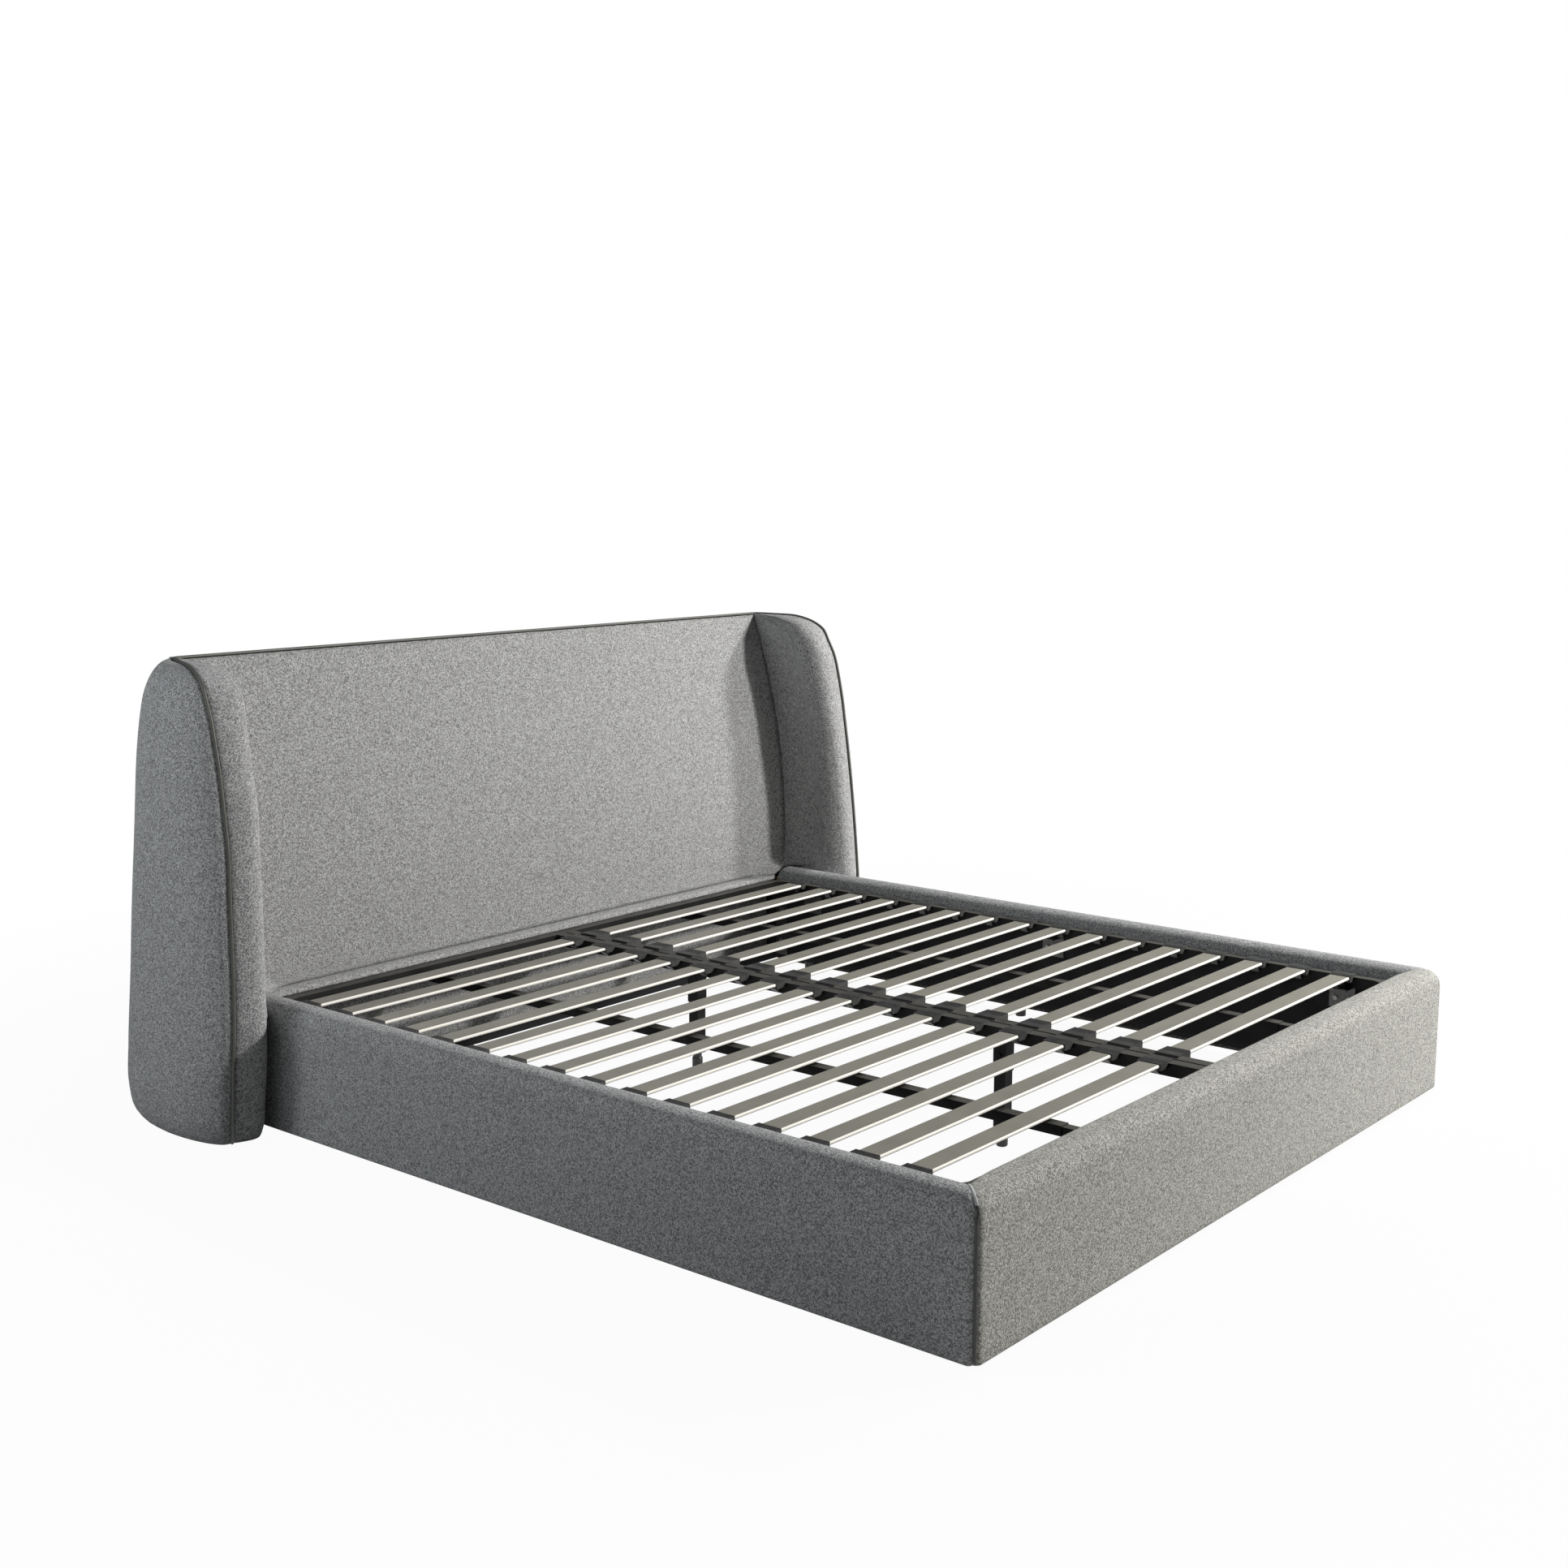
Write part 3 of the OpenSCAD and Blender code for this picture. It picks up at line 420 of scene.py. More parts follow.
def edge_at(z):
    return Vector((RAIL_OUT + between(EDGE, z / HEAD_TOP, 1), Y_PANEL + between(EDGE, z / HEAD_TOP, 2)))


def lip_at(z):
    return Vector((RAIL_OUT + between(LIP, z / HEAD_TOP, 1), Y_PANEL + between(LIP, z / HEAD_TOP, 2)))


def slot_at(z):
    turn = math.radians(between(SLOT_TURN, z / HEAD_TOP))
    return SLOT * between(SLOT_WIDE, z / HEAD_TOP) * Vector((math.cos(turn), math.sin(turn)))


def ease(p, tp, q, tq, s):
    """A point at part s of a curve from p to q, with tangents tp and tq."""
    return ((2 * s ** 3 - 3 * s * s + 1) * p + (s ** 3 - 2 * s * s + s) * tp
            + (3 * s * s - 2 * s ** 3) * q + (s ** 3 - s * s) * tq)


def lip_row(z):
    """A wing's inner face at one height, from its seam round the lip to the piping."""
    start = Vector((RAIL_OUT + 2, Y_PANEL + 20)) if z < SEAM_FOOT else Vector((seam_x(z), face_y(z) - seam_d(z)))
    lip = lip_at(z)
    end = edge_at(z) - slot_at(z)
    a, b = (lip - start).length, (end - lip).length
    slope = Vector((0.76, -0.65))
    first = (Vector((0.2, -0.98)) + (0 if z < SEAM_FOOT else seam_v(z)) * Vector((0.9, 0.6))).normalized()
    points = [ease(start, 0.9 * a * first, lip, 0.8 * a * slope, i / 5) for i in range(5)]
    points += [ease(lip, 1.1 * b * slope, end, b * Vector((0.94, 0.33)), i / 4) for i in range(5)]
    return [Vector((p.x, p.y, z)) for p in points]


def back_y(z):
    return Y_BACK - BACK_LEAN * max(0, z - LEAN_FROM) - ROLL * (1 - roll_out(z)) - bottom_in(z)


def bulge(z):
    return max(3, between(BULGE, z / HEAD_TOP) - 0.155 * ROLL * (1 - roll_out(z)) - 0.29 * bottom_in(z))


def shell_row(z):
    """A wing's outer face at one height, from the piping round the side and the back corner."""
    p = edge_at(z) + slot_at(z)
    if z > HEAD_TOP - 0.01:
        row = [Vector((p.x + (0.2 * k if k < 11 else -10), p.y + 0.1 * min(k, 5), z)) for k in range(12)]
        return row + [Vector((BACK_JOIN, p.y, z))]
    yb = back_y(z)
    ys = p.y + 0.45 * (yb - p.y)
    a, b = bulge(z), ys - p.y
    ay, xs = min(190, yb - ys - 2), p.x + a
    ax = min(175, 1.2 * ay)
    turns = [math.radians(18 * i) for i in range(6)]
    row = [Vector((p.x + a * math.sin(t), ys - b * math.cos(t), z)) for t in turns]
    row += [Vector((xs - ax + ax * math.cos(t), yb - ay + ay * math.sin(t), z)) for t in turns]
    return row + [Vector((BACK_JOIN, yb, z))]


SIDE_WIDE = 120


def face_row(z):
    """The front pad's face at one height."""
    s = seam_x(z)
    f = s - SIDE_WIDE
    half = [f + v * SIDE_WIDE for v in (0.25, 0.5, 0.75, 1)]
    xs = [-h for h in reversed(half)] + [-f, -f * 0.75, -f / 2, -f / 4, 0, f / 4, f / 2, f * 0.75, f] + half
    u = within((z - SEAM_FOOT) / (HEAD_TOP - SEAM_FOOT))
    row = []
    for x in xs:
        w = within((abs(x) - f) / SIDE_WIDE)
        crown = 4 * 4 * u * (1 - u) * (1 - (x / s) ** 2)
        row.append(Vector((x, face_y(z) - seam_d(z) * w ** 4 - crown, z)))
    return row


# Surfaces through rows of points

def through(points, steps):
    """A smooth curve through points, with a number of steps for each gap."""
    n = len(points)
    gaps = [max(1e-6, (points[i + 1] - points[i]).length) for i in range(n - 1)]
    slopes = [(points[i + 1] - points[i]) / gaps[i] for i in range(n - 1)]
    tangents = [slopes[0]]
    for i in range(1, n - 1):
        tangents.append((slopes[i - 1] * gaps[i] + slopes[i] * gaps[i - 1]) / (gaps[i] + gaps[i - 1]))
    tangents.append(slopes[-1])
    made = []
    for i in range(n - 1):
        for s in range(steps[i]):
            made.append(ease(points[i], tangents[i] * gaps[i],
                             points[i + 1], tangents[i + 1] * gaps[i], s / steps[i]))
    return made + [points[-1]]


def steps_for(rows, pitch):
    gaps = [sum((row[k + 1] - row[k]).length for row in rows) / len(rows) for k in range(len(rows[0]) - 1)]
    return [max(1, round(g / pitch)) for g in gaps]


def dense(rows, pitch, wide=None, fine=None):
    """Rows of points made dense both ways, and finer at the side with the piping."""
    wide = wide or steps_for(rows, pitch)
    rows = [through(row, wide) for row in rows]
    if fine == "start":
        rows = [crowd(r) for r in rows]
    if fine == "end":
        rows = [crowd(r[::-1])[::-1] for r in rows]
    columns = [list(c) for c in zip(*rows)]
    tall = steps_for(columns, pitch)
    columns = [through(c, tall) for c in columns]
    return [list(r) for r in zip(*columns)]


def crowd(row):
    """Adds points in the first two gaps of a row."""
    made = [row[0].lerp(row[1], t) for t in (0, 0.12, 0.27, 0.45, 0.7)]
    return made + [row[1], row[1].lerp(row[2], 0.35)] + row[2:]


def tuck(rows, sides, depth, inner):
    """Edges that turn in at a seam: one more line of points, moved inwards."""
    def moved(p):
        return p + inner(p) * depth
    if "start" in sides:
        rows = [[moved(r[0])] + r for r in rows]
    if "end" in sides:
        rows = [r + [moved(r[-1])] for r in rows]
    if "bottom" in sides:
        rows = [[moved(p) for p in rows[0]]] + rows
    if "top" in sides:
        rows = rows + [[moved(p) for p in rows[-1]]]
    return rows


VALLEY_WIDE = 13
VALLEY_DEEP = 6


def sink(rows, side, inner):
    """Rolls the cloth in along the piping, so that the cord lies in a valley."""
    for row in rows:
        line_in = row if side == "start" else row[::-1]
        first = line_in[0].copy()
        moves = []
        for p in line_in:
            reach = (p - first).length
            if reach > VALLEY_WIDE:
                break
            moves.append((p, VALLEY_DEEP * (1 - math.sqrt(1 - (1 - reach / VALLEY_WIDE) ** 2))))
        for p, deep in moves:
            p += inner(p) * deep
    return rows


def make(name, bm, material, node=None):
    """A new piece on the bed from a mesh, in place of a CAD node if one is named."""
    mesh = bpy.data.meshes.new(name)
    bm.to_mesh(mesh)
    bm.free()
    mesh.materials.append(material)
    piece = bpy.data.objects.new(name, mesh)
    bpy.context.scene.collection.objects.link(piece)
    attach(piece, BED)
    if node:
        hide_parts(node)
    return piece


def skin(rows, mirrored=False, offset=(0.0, 0.0)):
    """A cloth surface through rows of points in millimetres, with cloth coordinates in metres."""
    tall, wide = len(rows), len(rows[0])
    bm = bmesh.new()
    bmesh.ops.create_grid(bm, x_segments=wide - 1, y_segments=tall - 1, size=1.0)
    uv = bm.loops.layers.uv.new("cloth")
    across = [[0.0] for _ in rows]
    for j, row in enumerate(rows):
        for k in range(wide - 1):
            across[j].append(across[j][-1] + (row[k + 1] - row[k]).length * MM)
    middle = wide // 2
    up = [[0.0] * wide]
    for j in range(1, tall):
        up.append([up[-1][k] + (rows[j][k] - rows[j - 1][k]).length * MM for k in range(wide)])
    place = {}
    for vert in bm.verts:
        k = round((vert.co.x + 1) / 2 * (wide - 1))
        j = round((vert.co.y + 1) / 2 * (tall - 1))
        place[vert] = (j, k)
    for face in bm.faces:
        for loop in face.loops:
            j, k = place[loop.vert]
            loop[uv].uv = (across[j][k] - across[j][middle] + offset[0], up[j][k] + offset[1])
    for vert, (j, k) in place.items():
        vert.co = rows[j][k] * MM
    if mirrored:
        bmesh.ops.transform(bm, matrix=Matrix.Scale(-1, 4, (1, 0, 0)), verts=bm.verts)
        bmesh.ops.reverse_faces(bm, faces=bm.faces)
    for face in bm.faces:
        face.smooth = True
    return bm


def thicken(piece, thickness):
    wall = piece.modifiers.new("thickness", "SOLIDIFY")
    wall.thickness = thickness * MM
    wall.offset = -1


def inward(p):
    """Into the headboard: back at the face, down where the top rolls over."""
    return Vector((0, roll_out(p.z), -roll_up(p.z)))


front_rows = dense([face_row(z) for z in HIGH_ROWS], 16)
front_columns = [crowd(list(c)[::-1])[::-1] for c in zip(*front_rows)]
front_rows = [list(r) for r in zip(*sink(front_columns, "end", inward))]
front_rows = tuck(front_rows, ("start", "end", "bottom", "top"), TUCK, inward)
front_pad = make("front_pad_cloth", skin(front_rows, offset=(1.2, 0)), FRONT_CLOTH, "front_pad")
thicken(front_pad, PAD_CLOTH)

wing_wide = steps_for([lip_row(z) for z in HIGH_ROWS], 12)
wing_rows = (dense([lip_row(z) for z in LOW_ROWS], 12, wing_wide, "end")
             + dense([lip_row(z) for z in HIGH_ROWS], 12, wing_wide, "end"))
sink(wing_rows, "end", inward)
wing_rows = tuck(wing_rows, ("start", "end"), TUCK, inward)
# The pad stays behind the head end of the side rail.
for row in wing_rows:
    for p in row:
        if SEAM_FOOT - 0.3 < p.z < RAIL_TOP + 2 and p.x < RAIL_OUT - 1:
            p.y = max(p.y, SIDE_HEAD_END + 2)
shell_rows = dense([shell_row(z) for z in LOW_ROWS + HIGH_ROWS], 14, None, "start")
sink(shell_rows, "start", lambda p: Vector((-0.7 * roll_out(p.z), 0.7 * roll_out(p.z), -roll_up(p.z))))
shell_rows = tuck(shell_rows, ("start",), TUCK, inward)
for side, mirrored in SIDES:
    wing = make("wing_pad_cloth_" + side, skin(wing_rows, mirrored, (3.1, 0.2)), FRONT_CLOTH,
                "wing_pad_" + side)
    thicken(wing, PAD_CLOTH)
    shell = make("wing_shell_cloth_" + side, skin(shell_rows, mirrored, (5.3, 0.1)), SHELL_CLOTH,
                 "wing_shell_" + side)
    thicken(shell, PAD_CLOTH)

top_y = Y_PANEL + FACE_LEAN + 2 * SLOT
back_line = [(top_y if z > HEAD_TOP - 0.01 else back_y(z), z) for z in reversed(LOW_ROWS + HIGH_ROWS)]
back_rows = [[Vector((x, y, z)) for x in range(-BACK_JOIN, BACK_JOIN + 1, 100)] for y, z in back_line]
back = make("back_cloth", skin(dense(back_rows, 20), offset=(7.0, 0)), SHELL_CLOTH, "back_panel")
thicken(back, PAD_CLOTH)


# Piping cord

CORNER_REACH = 16
CORNER_STEPS = 6


def cord_piece(name, points, radius, material, node=None):
    """A round cord through points in millimetres."""
    curve = bpy.data.curves.new(name, "CURVE")
    curve.dimensions = "3D"
    curve.bevel_depth = radius * MM
    curve.bevel_resolution = 3
    curve.use_fill_caps = True
    spline = curve.splines.new("POLY")
    spline.points.add(len(points) - 1)
    for knot, p in zip(spline.points, points):
        knot.co = (*(p * MM), 1)
    curve.materials.append(material)
    piece = bpy.data.objects.new(name, curve)
    bpy.context.scene.collection.objects.link(piece)
    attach(piece, BED)
    if node:
        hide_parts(node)


half = [Vector((*edge_at(z), z)) for z in [HEAD_BOTTOM + 4] + LOW_ROWS[1:] + HIGH_ROWS]
half = through(half, [max(1, round((b - a).length / 8)) for a, b in zip(half, half[1:])])
corner = half[-1]
half = [p for p in half if (p - corner).length > CORNER_REACH]
bend_in = corner + (half[-1] - corner).normalized() * CORNER_REACH
bend_out = corner - Vector((CORNER_REACH, 0, 0))
for part in [t / CORNER_STEPS for t in range(CORNER_STEPS + 1)]:
    half.append(bend_in.lerp(corner, part).lerp(corner.lerp(bend_out, part), part))
cord_points = [Vector((-p.x, p.y, p.z)) for p in half] + list(reversed(half))
cord_piece("piping_cord", cord_points, CORD_RADIUS + 0.4, PIPING_CLOTH, "piping")


# Padded covers of the rails

def arc(cx, cz, r, start, stop, count):
    """Points on an arc, from one angle to another in degrees."""
    return [(cx + r * math.cos(math.radians(start + (stop - start) * i / count)),
             cz + r * math.sin(math.radians(start + (stop - start) * i / count))) for i in range(count + 1)]


def line(a, b, pitch):
    """Points between a and b, without them."""
    n = max(1, round(math.dist(a, b) / pitch))
    return [(a[0] + (b[0] - a[0]) * i / n, a[1] + (b[1] - a[1]) * i / n) for i in range(1, n)]


def rail_profile(inner_round=RAIL_ROUND):
    """Across a rail: depth from the outer face, and height. It runs from under the rail, up its outer face, over
    the top and down to the inner flap."""
    r, wide, top, low, hem = RAIL_ROUND, RAIL_OUT - WELL_HALF, RAIL_TOP, RAIL_CLEAR, HEM_ROUND
    under = [(36, CORE_BOTTOM - 2), (36, low + 4), (33, low), (20, low)]
    outer = arc(hem, low + hem, hem, 270, 180, 5)
    over = arc(r, top - r, r, 180, 90, 7)
    inner = arc(wide - inner_round, top - inner_round, inner_round, 90, 0, 7)
    crest = [((over[-1][0] + inner[0][0]) / 2, top)]
    points = under + outer + line(outer[-1], over[0], 16) + over + crest + inner
    points += [(wide, FLAP_BOTTOM + 3), (wide - 1.5, FLAP_BOTTOM), (wide - 5, FLAP_BOTTOM + 1)]
    return points


def ease_in(t):
    """From 0 to 1 with a soft start and end."""
    t = within(t)
    return t * t * (3 - 2 * t)


def end_drop(d, r):
    """How far a rail's top comes down, or its hem comes up, near a rounded end."""
    return 0.0 if d >= r else r - math.sqrt(r ** 2 - (r - max(0, d)) ** 2)


def mitre_roll(e):
    """How far the cloth rolls in at a mitred corner, e from the mitre."""
    reach = MITRE_ROUND * math.sin(MITRE_TURN)
    return 0.0 if e >= reach else MITRE_ROUND - math.sqrt(MITRE_ROUND ** 2 - (reach - e) ** 2)


END_STEPS = [0, 1.5, 3.5, 6, 9, 13, 18, 24, 31, 40, 52]
MIDDLE_STEPS = 80
FOOT_INNER_ROUND = 22
FOOT_BLEND = 70
CAP_REACH = 18
MIDDLE_HEIGHT = (RAIL_TOP + RAIL_CLEAR) / 2
HALF_HEIGHT = (RAIL_TOP - RAIL_CLEAR) / 2


def stations_between(start, end):
    """Places along a rail, closer together near its ends."""
    reach = END_STEPS[-1]
    middle = [start + reach + (end - 2 * reach - start) * i / MIDDLE_STEPS for i in range(1, MIDDLE_STEPS)]
    return [start + e for e in END_STEPS] + middle + [end - e for e in reversed(END_STEPS)]


def cover_point(depth, z, e_start, e_end, d_start, d_end, mitre_end):
    """A point of the profile near a rail's ends, e from the mitres and d from the ends."""
    roll = mitre_roll(e_start) + (mitre_roll(e_end) if mitre_end else 0)
    face = within((MITRE_ROUND * 2 - depth) / (MITRE_ROUND * 2))
    upper = within((z - RAIL_TOP + 40) / 40)
    r = RAIL_END_ROUND if z > MIDDLE_HEIGHT else END_HEM
    drop = end_drop(d_start, r) + end_drop(d_end, r if mitre_end else HEAD_END_ROUND)
    z = MIDDLE_HEIGHT + (z - MIDDLE_HEIGHT) * (HALF_HEIGHT - drop) / HALF_HEIGHT
    return depth + roll * face, z - roll * 0.35 * upper * (1 - face)


def side_cover_rows():
    rows = []
    for depth, z in rail_profile():
        start, end = Y_FOOT + max(depth, MITRE_IN), SIDE_HEAD_END
        row = []
        for y in stations_between(start, end):
            t, h = cover_point(depth, z, y - start, 99, y - Y_FOOT - 2, end - y, False)
            if end - y < CAP_REACH:
                t = t + (40 - t) * 0.35 * (1 - (end - y) / CAP_REACH) ** 2
            row.append(Vector((RAIL_OUT - t, y, h)))
        rows.append(row)
    return rows


def foot_cover_rows():
    rows = []
    for (depth, z), (full_depth, full_z) in zip(rail_profile(), rail_profile(FOOT_INNER_ROUND)):
        end = RAIL_OUT - max(depth, MITRE_IN)
        row = []
        for x in stations_between(-end, end):
            full = ease_in((end - abs(x)) / FOOT_BLEND)
            t, h = cover_point(depth + (full_depth - depth) * full, z + (full_z - z) * full, x + end, end - x,
                               RAIL_OUT - 2 + x, RAIL_OUT - 2 - x, True)
            row.append(Vector((x, Y_FOOT + t, h)))
        rows.append(row)
    return rows


def cap_end(bm, y):
    """Closes the head end of a side cover."""
    rim = [e for e in bm.edges if e.is_boundary and all(abs(v.co.y - y * MM) < 0.0002 for v in e.verts)]
    bmesh.ops.contextual_create(bm, geom=rim)


side_rows = side_cover_rows()
for side, mirrored in SIDES:
    bm = skin(side_rows, mirrored, (9.0, 0.3))
    cap_end(bm, SIDE_HEAD_END)
    cover = make("side_cover_cloth_" + side, bm, SHELL_CLOTH, "side_cover_" + side)
    thicken(cover, COVER_CLOTH)
foot = make("foot_cover_cloth", skin(foot_cover_rows(), offset=(11.0, 0.3)), FOOT_CLOTH,
            "foot_cover")
thicken(foot, COVER_CLOTH)

# A dark seam cord fills each foot mitre, its near-black colour partly painted shade of the mitre's groove, and a fold
# of cloth the part that rolls over the top.
THREAD_RADIUS = 3.8
FOLD_RADIUS = 3.9
mitre_line = [row[0] for row in side_rows[3:] if row[0].x > RAIL_OUT - 60]
thread_part = [p for p in mitre_line if p.z < RAIL_TOP - 17]
fold_part = [p for p in mitre_line if p.z > RAIL_TOP - 26]
for side, mirrored in SIDES:
    flip = -1 if mirrored else 1
    cord_piece("mitre_thread_" + side, [Vector((p.x * flip, p.y, p.z)) for p in thread_part],
               THREAD_RADIUS, SEAM_CORD_AND_SHADE)
    cord_piece("mitre_fold_" + side, [Vector((p.x * flip, p.y, p.z)) for p in fold_part],
               FOLD_RADIUS, SHELL_CLOTH)


# Ledge, lower panel and linings

def ledge_pieces():
    """The ledge's woven top, and the black cloth under its front edge."""
    low, top, r = LEDGE_TOP - 35, LEDGE_TOP, 10
    upper = [(Y_LEDGE + 3, top - 12), (Y_LEDGE + 0.5, top - 12.5)] + arc(Y_LEDGE + r, top - r, r, 180, 90, 5)
    upper += [(Y_LEDGE + 28, top + 1.5), (Y_PANEL - 8, top + 1), (Y_PANEL - 1, top)]
    lower = [(Y_PANEL - 0.5, low)] + arc(Y_LEDGE + r, low + r, r, 270, 180, 5)
    lower += [(Y_LEDGE, top - 14), (Y_LEDGE + 3, top - 12.8)]
    along = range(-WELL_HALF, WELL_HALF + 1, 20)
    return [[[Vector((x, y, z)) for x in along] for y, z in part] for part in (upper, lower)]


ledge_top_rows, ledge_front_rows = ledge_pieces()
ledge = make("head_ledge_cloth", skin(ledge_top_rows, offset=(13.0, 0)), FRONT_CLOTH, "head_ledge")
thicken(ledge, COVER_CLOTH)
ledge_front = make("head_ledge_lining", skin(ledge_front_rows), LINING, None)
thicken(ledge_front, LEDGE_LINING)


def sheet_rows(x0, x1, y0, y1, z0, z1, wide, tall):
    """Flat rows from a lower to an upper edge."""
    return [[Vector((x0 + (x1 - x0) * k / wide, y0 + (y1 - y0) * k / wide, z0 + (z1 - z0) * j / tall))
             for k in range(wide + 1)] for j in range(tall + 1)]


def wavy(rows, normal, size, pitch):
    """A light unevenness along a direction, so that a sheet isn't dead flat."""
    return [[p + normal * size * noise.noise(p / pitch) for p in row] for row in rows]


def stapled(rows):
    """Works out a stretched cloth's cut size along its middle lines, and keeps nothing of it."""
    middles = [row[len(row) // 2] for row in rows], rows[len(rows) // 2]
    cut = [sum((b - a).length for a, b in zip(path, path[1:])) * MM for path in middles]


PANEL_FOOT = 50
STRIP_FOOT = 14
panel_end = RAIL_OUT - 2
panel_rows = sheet_rows(-panel_end, panel_end, Y_PANEL, Y_PANEL, PANEL_FOOT, SEAM_FOOT - 0.3, 120, 14)
panel = make("lower_panel_cloth", skin(wavy(panel_rows, Vector((0, 1, 0)), 0.8, 120), offset=(15.0, 0)),
             FRONT_CLOTH, "lower_front_panel")
thicken(panel, PAD_CLOTH)
stapled(panel_rows)
strip_rows = sheet_rows(-panel_end, panel_end, Y_PANEL + 4, Y_PANEL + 4, STRIP_FOOT, PANEL_FOOT, 120, 4)
strip = make("base_strip_cloth", skin(wavy(strip_rows, Vector((0, 1, 0)), 0.8, 90)), LINING, "base_strip")
thicken(strip, COVER_CLOTH)
stapled(strip_rows)


def lining_point(y, part):
    """A side lining ends under the rail's flap, and lower where it runs on behind the ledge."""
    top = LEDGE_TOP - 36 if y > Y_LEDGE - 0.25 else FLAP_BOTTOM - 0.1
    return Vector((WELL_HALF, y, CORE_BOTTOM + (top - CORE_BOTTOM) * part))


LINING_STEPS = 110
LINING_ROWS = 12
along = [Y_LEDGE - 0.3 - (Y_LEDGE - Y_WELL + 3.7) * k / LINING_STEPS for k in range(LINING_STEPS + 1)]
lining_rows = [[lining_point(y, j / LINING_ROWS) for y in [Y_PANEL - 6, Y_LEDGE - 0.2] + along]
               for j in range(LINING_ROWS + 1)]
for side, mirrored in SIDES:
    lining = make("lining_cloth_" + side, skin(wavy(lining_rows, Vector((1, 0, 0)), 1.0, 110), mirrored), LINING,
                  "side_lining_" + side)
    thicken(lining, LINING_CLOTH)
    stapled(lining_rows)
end_rows = [[Vector((x, y, LEDGE_TOP - 43.4)) for x in range(WELL_HALF, WELL_HALF + 52, 3)]
            for y in range(SIDE_HEAD_END + 2, Y_PANEL - 1, 4)]
for side, mirrored in SIDES:
    end_lining = make("rail_end_lining_" + side, skin(end_rows, mirrored), LINING, None)
    thicken(end_lining, LINING_CLOTH)
    stapled(end_rows)
foot_lining_rows = sheet_rows(WELL_HALF, -WELL_HALF, Y_WELL, Y_WELL, CORE_BOTTOM, FLAP_BOTTOM - 0.1,
                              LINING_STEPS, LINING_ROWS)
foot_lining = make("foot_lining_cloth", skin(wavy(foot_lining_rows, Vector((0, -1, 0)), 1.0, 110)), LINING,
                   "foot_lining")
thicken(foot_lining, LINING_CLOTH)
stapled(foot_lining_rows)


# Floor, light and camera

FLOOR_HALF = 30.0
FLOOR_GREY = (0.53, 0.53, 0.53, 1)
SHADED_REACH = 1.5
CLEAR_REACH = 3.6
SHADE_SHOWN = 0.955


def studio_floor():
    """A white floor that keeps a faint shadow near the bed, and that lights the bed as a grey one would."""
    f = Finish("floor_white")
    rays = [f.add("ShaderNodeLightPath", out=name)
            for name in ("Is Camera Ray", "Is Glossy Ray", "Is Transmission Ray")]
    seen = f.add("ShaderNodeClamp", values={0: rays[0] + rays[1] + rays[2]})
    reach = f.add("ShaderNodeVectorMath", {"operation": "LENGTH"}, {0: f.coords()}, out="Value")
    clear = f.add("ShaderNodeMapRange", values={0: reach, 1: SHADED_REACH, 2: CLEAR_REACH, 3: SHADE_SHOWN, 4: 1.0})
    matte = f.add("ShaderNodeBsdfDiffuse", values={0: FLOOR_GREY})
    glow = f.add("ShaderNodeEmission", values={0: (1, 1, 1, 1), 1: 1.0})
    blend = f.add("ShaderNodeMixShader", values={0: seen * clear, 1: matte, 2: glow})
    f.add_output(blend)
    bm = bmesh.new()
    bmesh.ops.create_grid(bm, x_segments=1, y_segments=1, size=FLOOR_HALF)
    mesh = bpy.data.meshes.new("floor")
    bm.to_mesh(mesh)
    bm.free()
    mesh.materials.append(f.material)
    floor = bpy.data.objects.new("floor", mesh)
    floor.data.transform(Matrix.Translation((0, 0, -0.0005)))
    bpy.context.scene.collection.objects.link(floor)


def studio_world(level):
    """White to the camera, and a soft light of the given level to everything else."""
    world = bpy.data.worlds.new("studio")
    bpy.context.scene.world = world
    world.use_nodes = True
    tree = world.node_tree
    tree.nodes.clear()
    path = tree.nodes.new("ShaderNodeLightPath")
    seen = tree.nodes.new("ShaderNodeMath")
    seen.operation = "MAXIMUM"
    tree.links.new(path.outputs["Is Camera Ray"], seen.inputs[0])
    tree.links.new(path.outputs["Is Transmission Ray"], seen.inputs[1])
    soft = tree.nodes.new("ShaderNodeBackground")
    soft.inputs[0].default_value = (0.96, 0.98, 1.0, 1)
    soft.inputs[1].default_value = level
    white = tree.nodes.new("ShaderNodeBackground")
    white.inputs[0].default_value = (1, 1, 1, 1)
    mix = tree.nodes.new("ShaderNodeMixShader")
    out = tree.nodes.new("ShaderNodeOutputWorld")
    tree.links.new(seen.outputs[0], mix.inputs[0])
    tree.links.new(soft.outputs[0], mix.inputs[1])
    tree.links.new(white.outputs[0], mix.inputs[2])
    tree.links.new(mix.outputs[0], out.inputs[0])


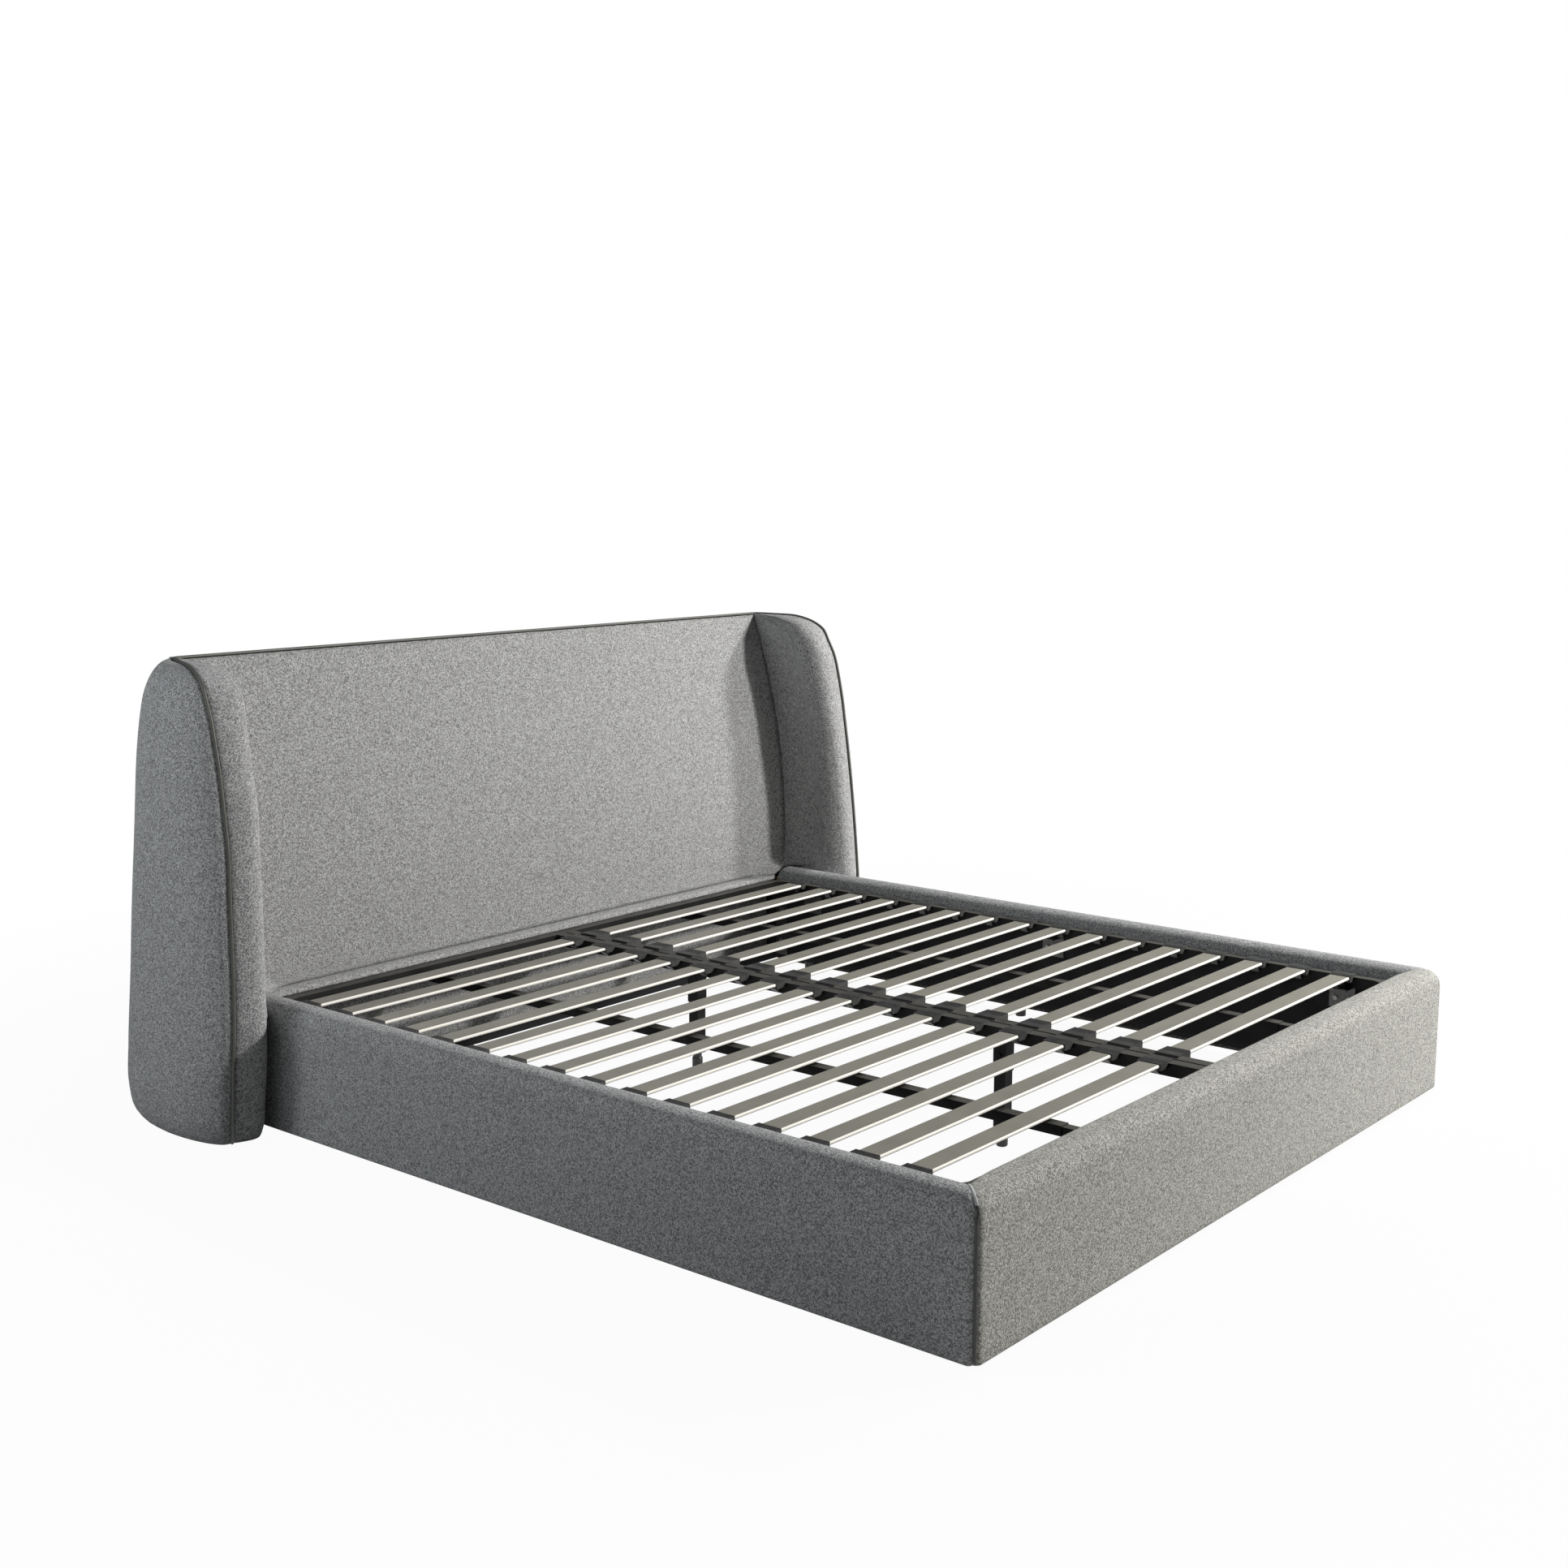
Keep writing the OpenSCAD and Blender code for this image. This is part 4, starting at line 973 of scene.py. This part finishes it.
def softbox(name, place, target, size, power, colour):
    light = bpy.data.lights.new(name, "AREA")
    light.shape = "DISK"
    light.size = size
    light.energy = power
    light.color = colour
    lamp = bpy.data.objects.new(name, light)
    bpy.context.scene.collection.objects.link(lamp)
    aim = (Vector(target) - Vector(place)).to_track_quat("-Z", "Y")
    lamp.matrix_world = Matrix.Translation(place) @ aim.to_matrix().to_4x4()


MIDDLE = (0.0, 0.2, 0.4)
WARM = (1.0, 0.99, 0.965)
PALE = (1.0, 0.99, 0.975)
COOL = (0.95, 0.975, 1.0)
studio_floor()
studio_world(0.06)
softbox("key", (3.25, -4.0, 3.2), MIDDLE, 0.5, 288, WARM)
softbox("low", (2.4, -3.4, 1.5), MIDDLE, 1.0, 18, WARM)
softbox("side", (4.7, -2.1, 3.9), MIDDLE, 0.7, 276, PALE)
softbox("left", (-3.2, 0.2, 3.2), MIDDLE, 1.4, 13, COOL)
softbox("behind_left", (-3.6, 1.9, 2.4), (-0.6, 0.2, 0.4), 1.4, 48, COOL)

# The camera, fitted to the photo's vanishing lines.
CAMERA_PLACE = Vector((-3.76185, -3.0213, 1.55297))
CAMERA_AZIMUTH = math.radians(-50.501)
CAMERA_ELEVATION = math.radians(8.769)
CAMERA_ROLL = math.radians(0.094)
FOCAL_PIXELS = 2407.84
PHOTO_SIDE = 1932
SENSOR = 36.0

backwards = Vector((math.sin(CAMERA_AZIMUTH) * math.cos(CAMERA_ELEVATION),
                    -math.cos(CAMERA_AZIMUTH) * math.cos(CAMERA_ELEVATION), math.sin(CAMERA_ELEVATION)))
right = Vector((0, 0, 1)).cross(backwards).normalized()
up = backwards.cross(right)
turn = Matrix.Rotation(CAMERA_ROLL, 3, backwards)
right, up = turn @ right, turn @ up
camera_data = bpy.data.cameras.new("camera")
camera_data.sensor_fit = "HORIZONTAL"
camera_data.sensor_width = SENSOR
camera_data.lens = FOCAL_PIXELS / PHOTO_SIDE * SENSOR
camera = bpy.data.objects.new("camera", camera_data)
bpy.context.scene.collection.objects.link(camera)
axes = Matrix((right, up, backwards)).transposed().to_4x4()
camera.matrix_world = Matrix.Translation(CAMERA_PLACE) @ axes
bpy.context.scene.camera = camera
bpy.context.scene.view_settings.view_transform = "Standard"
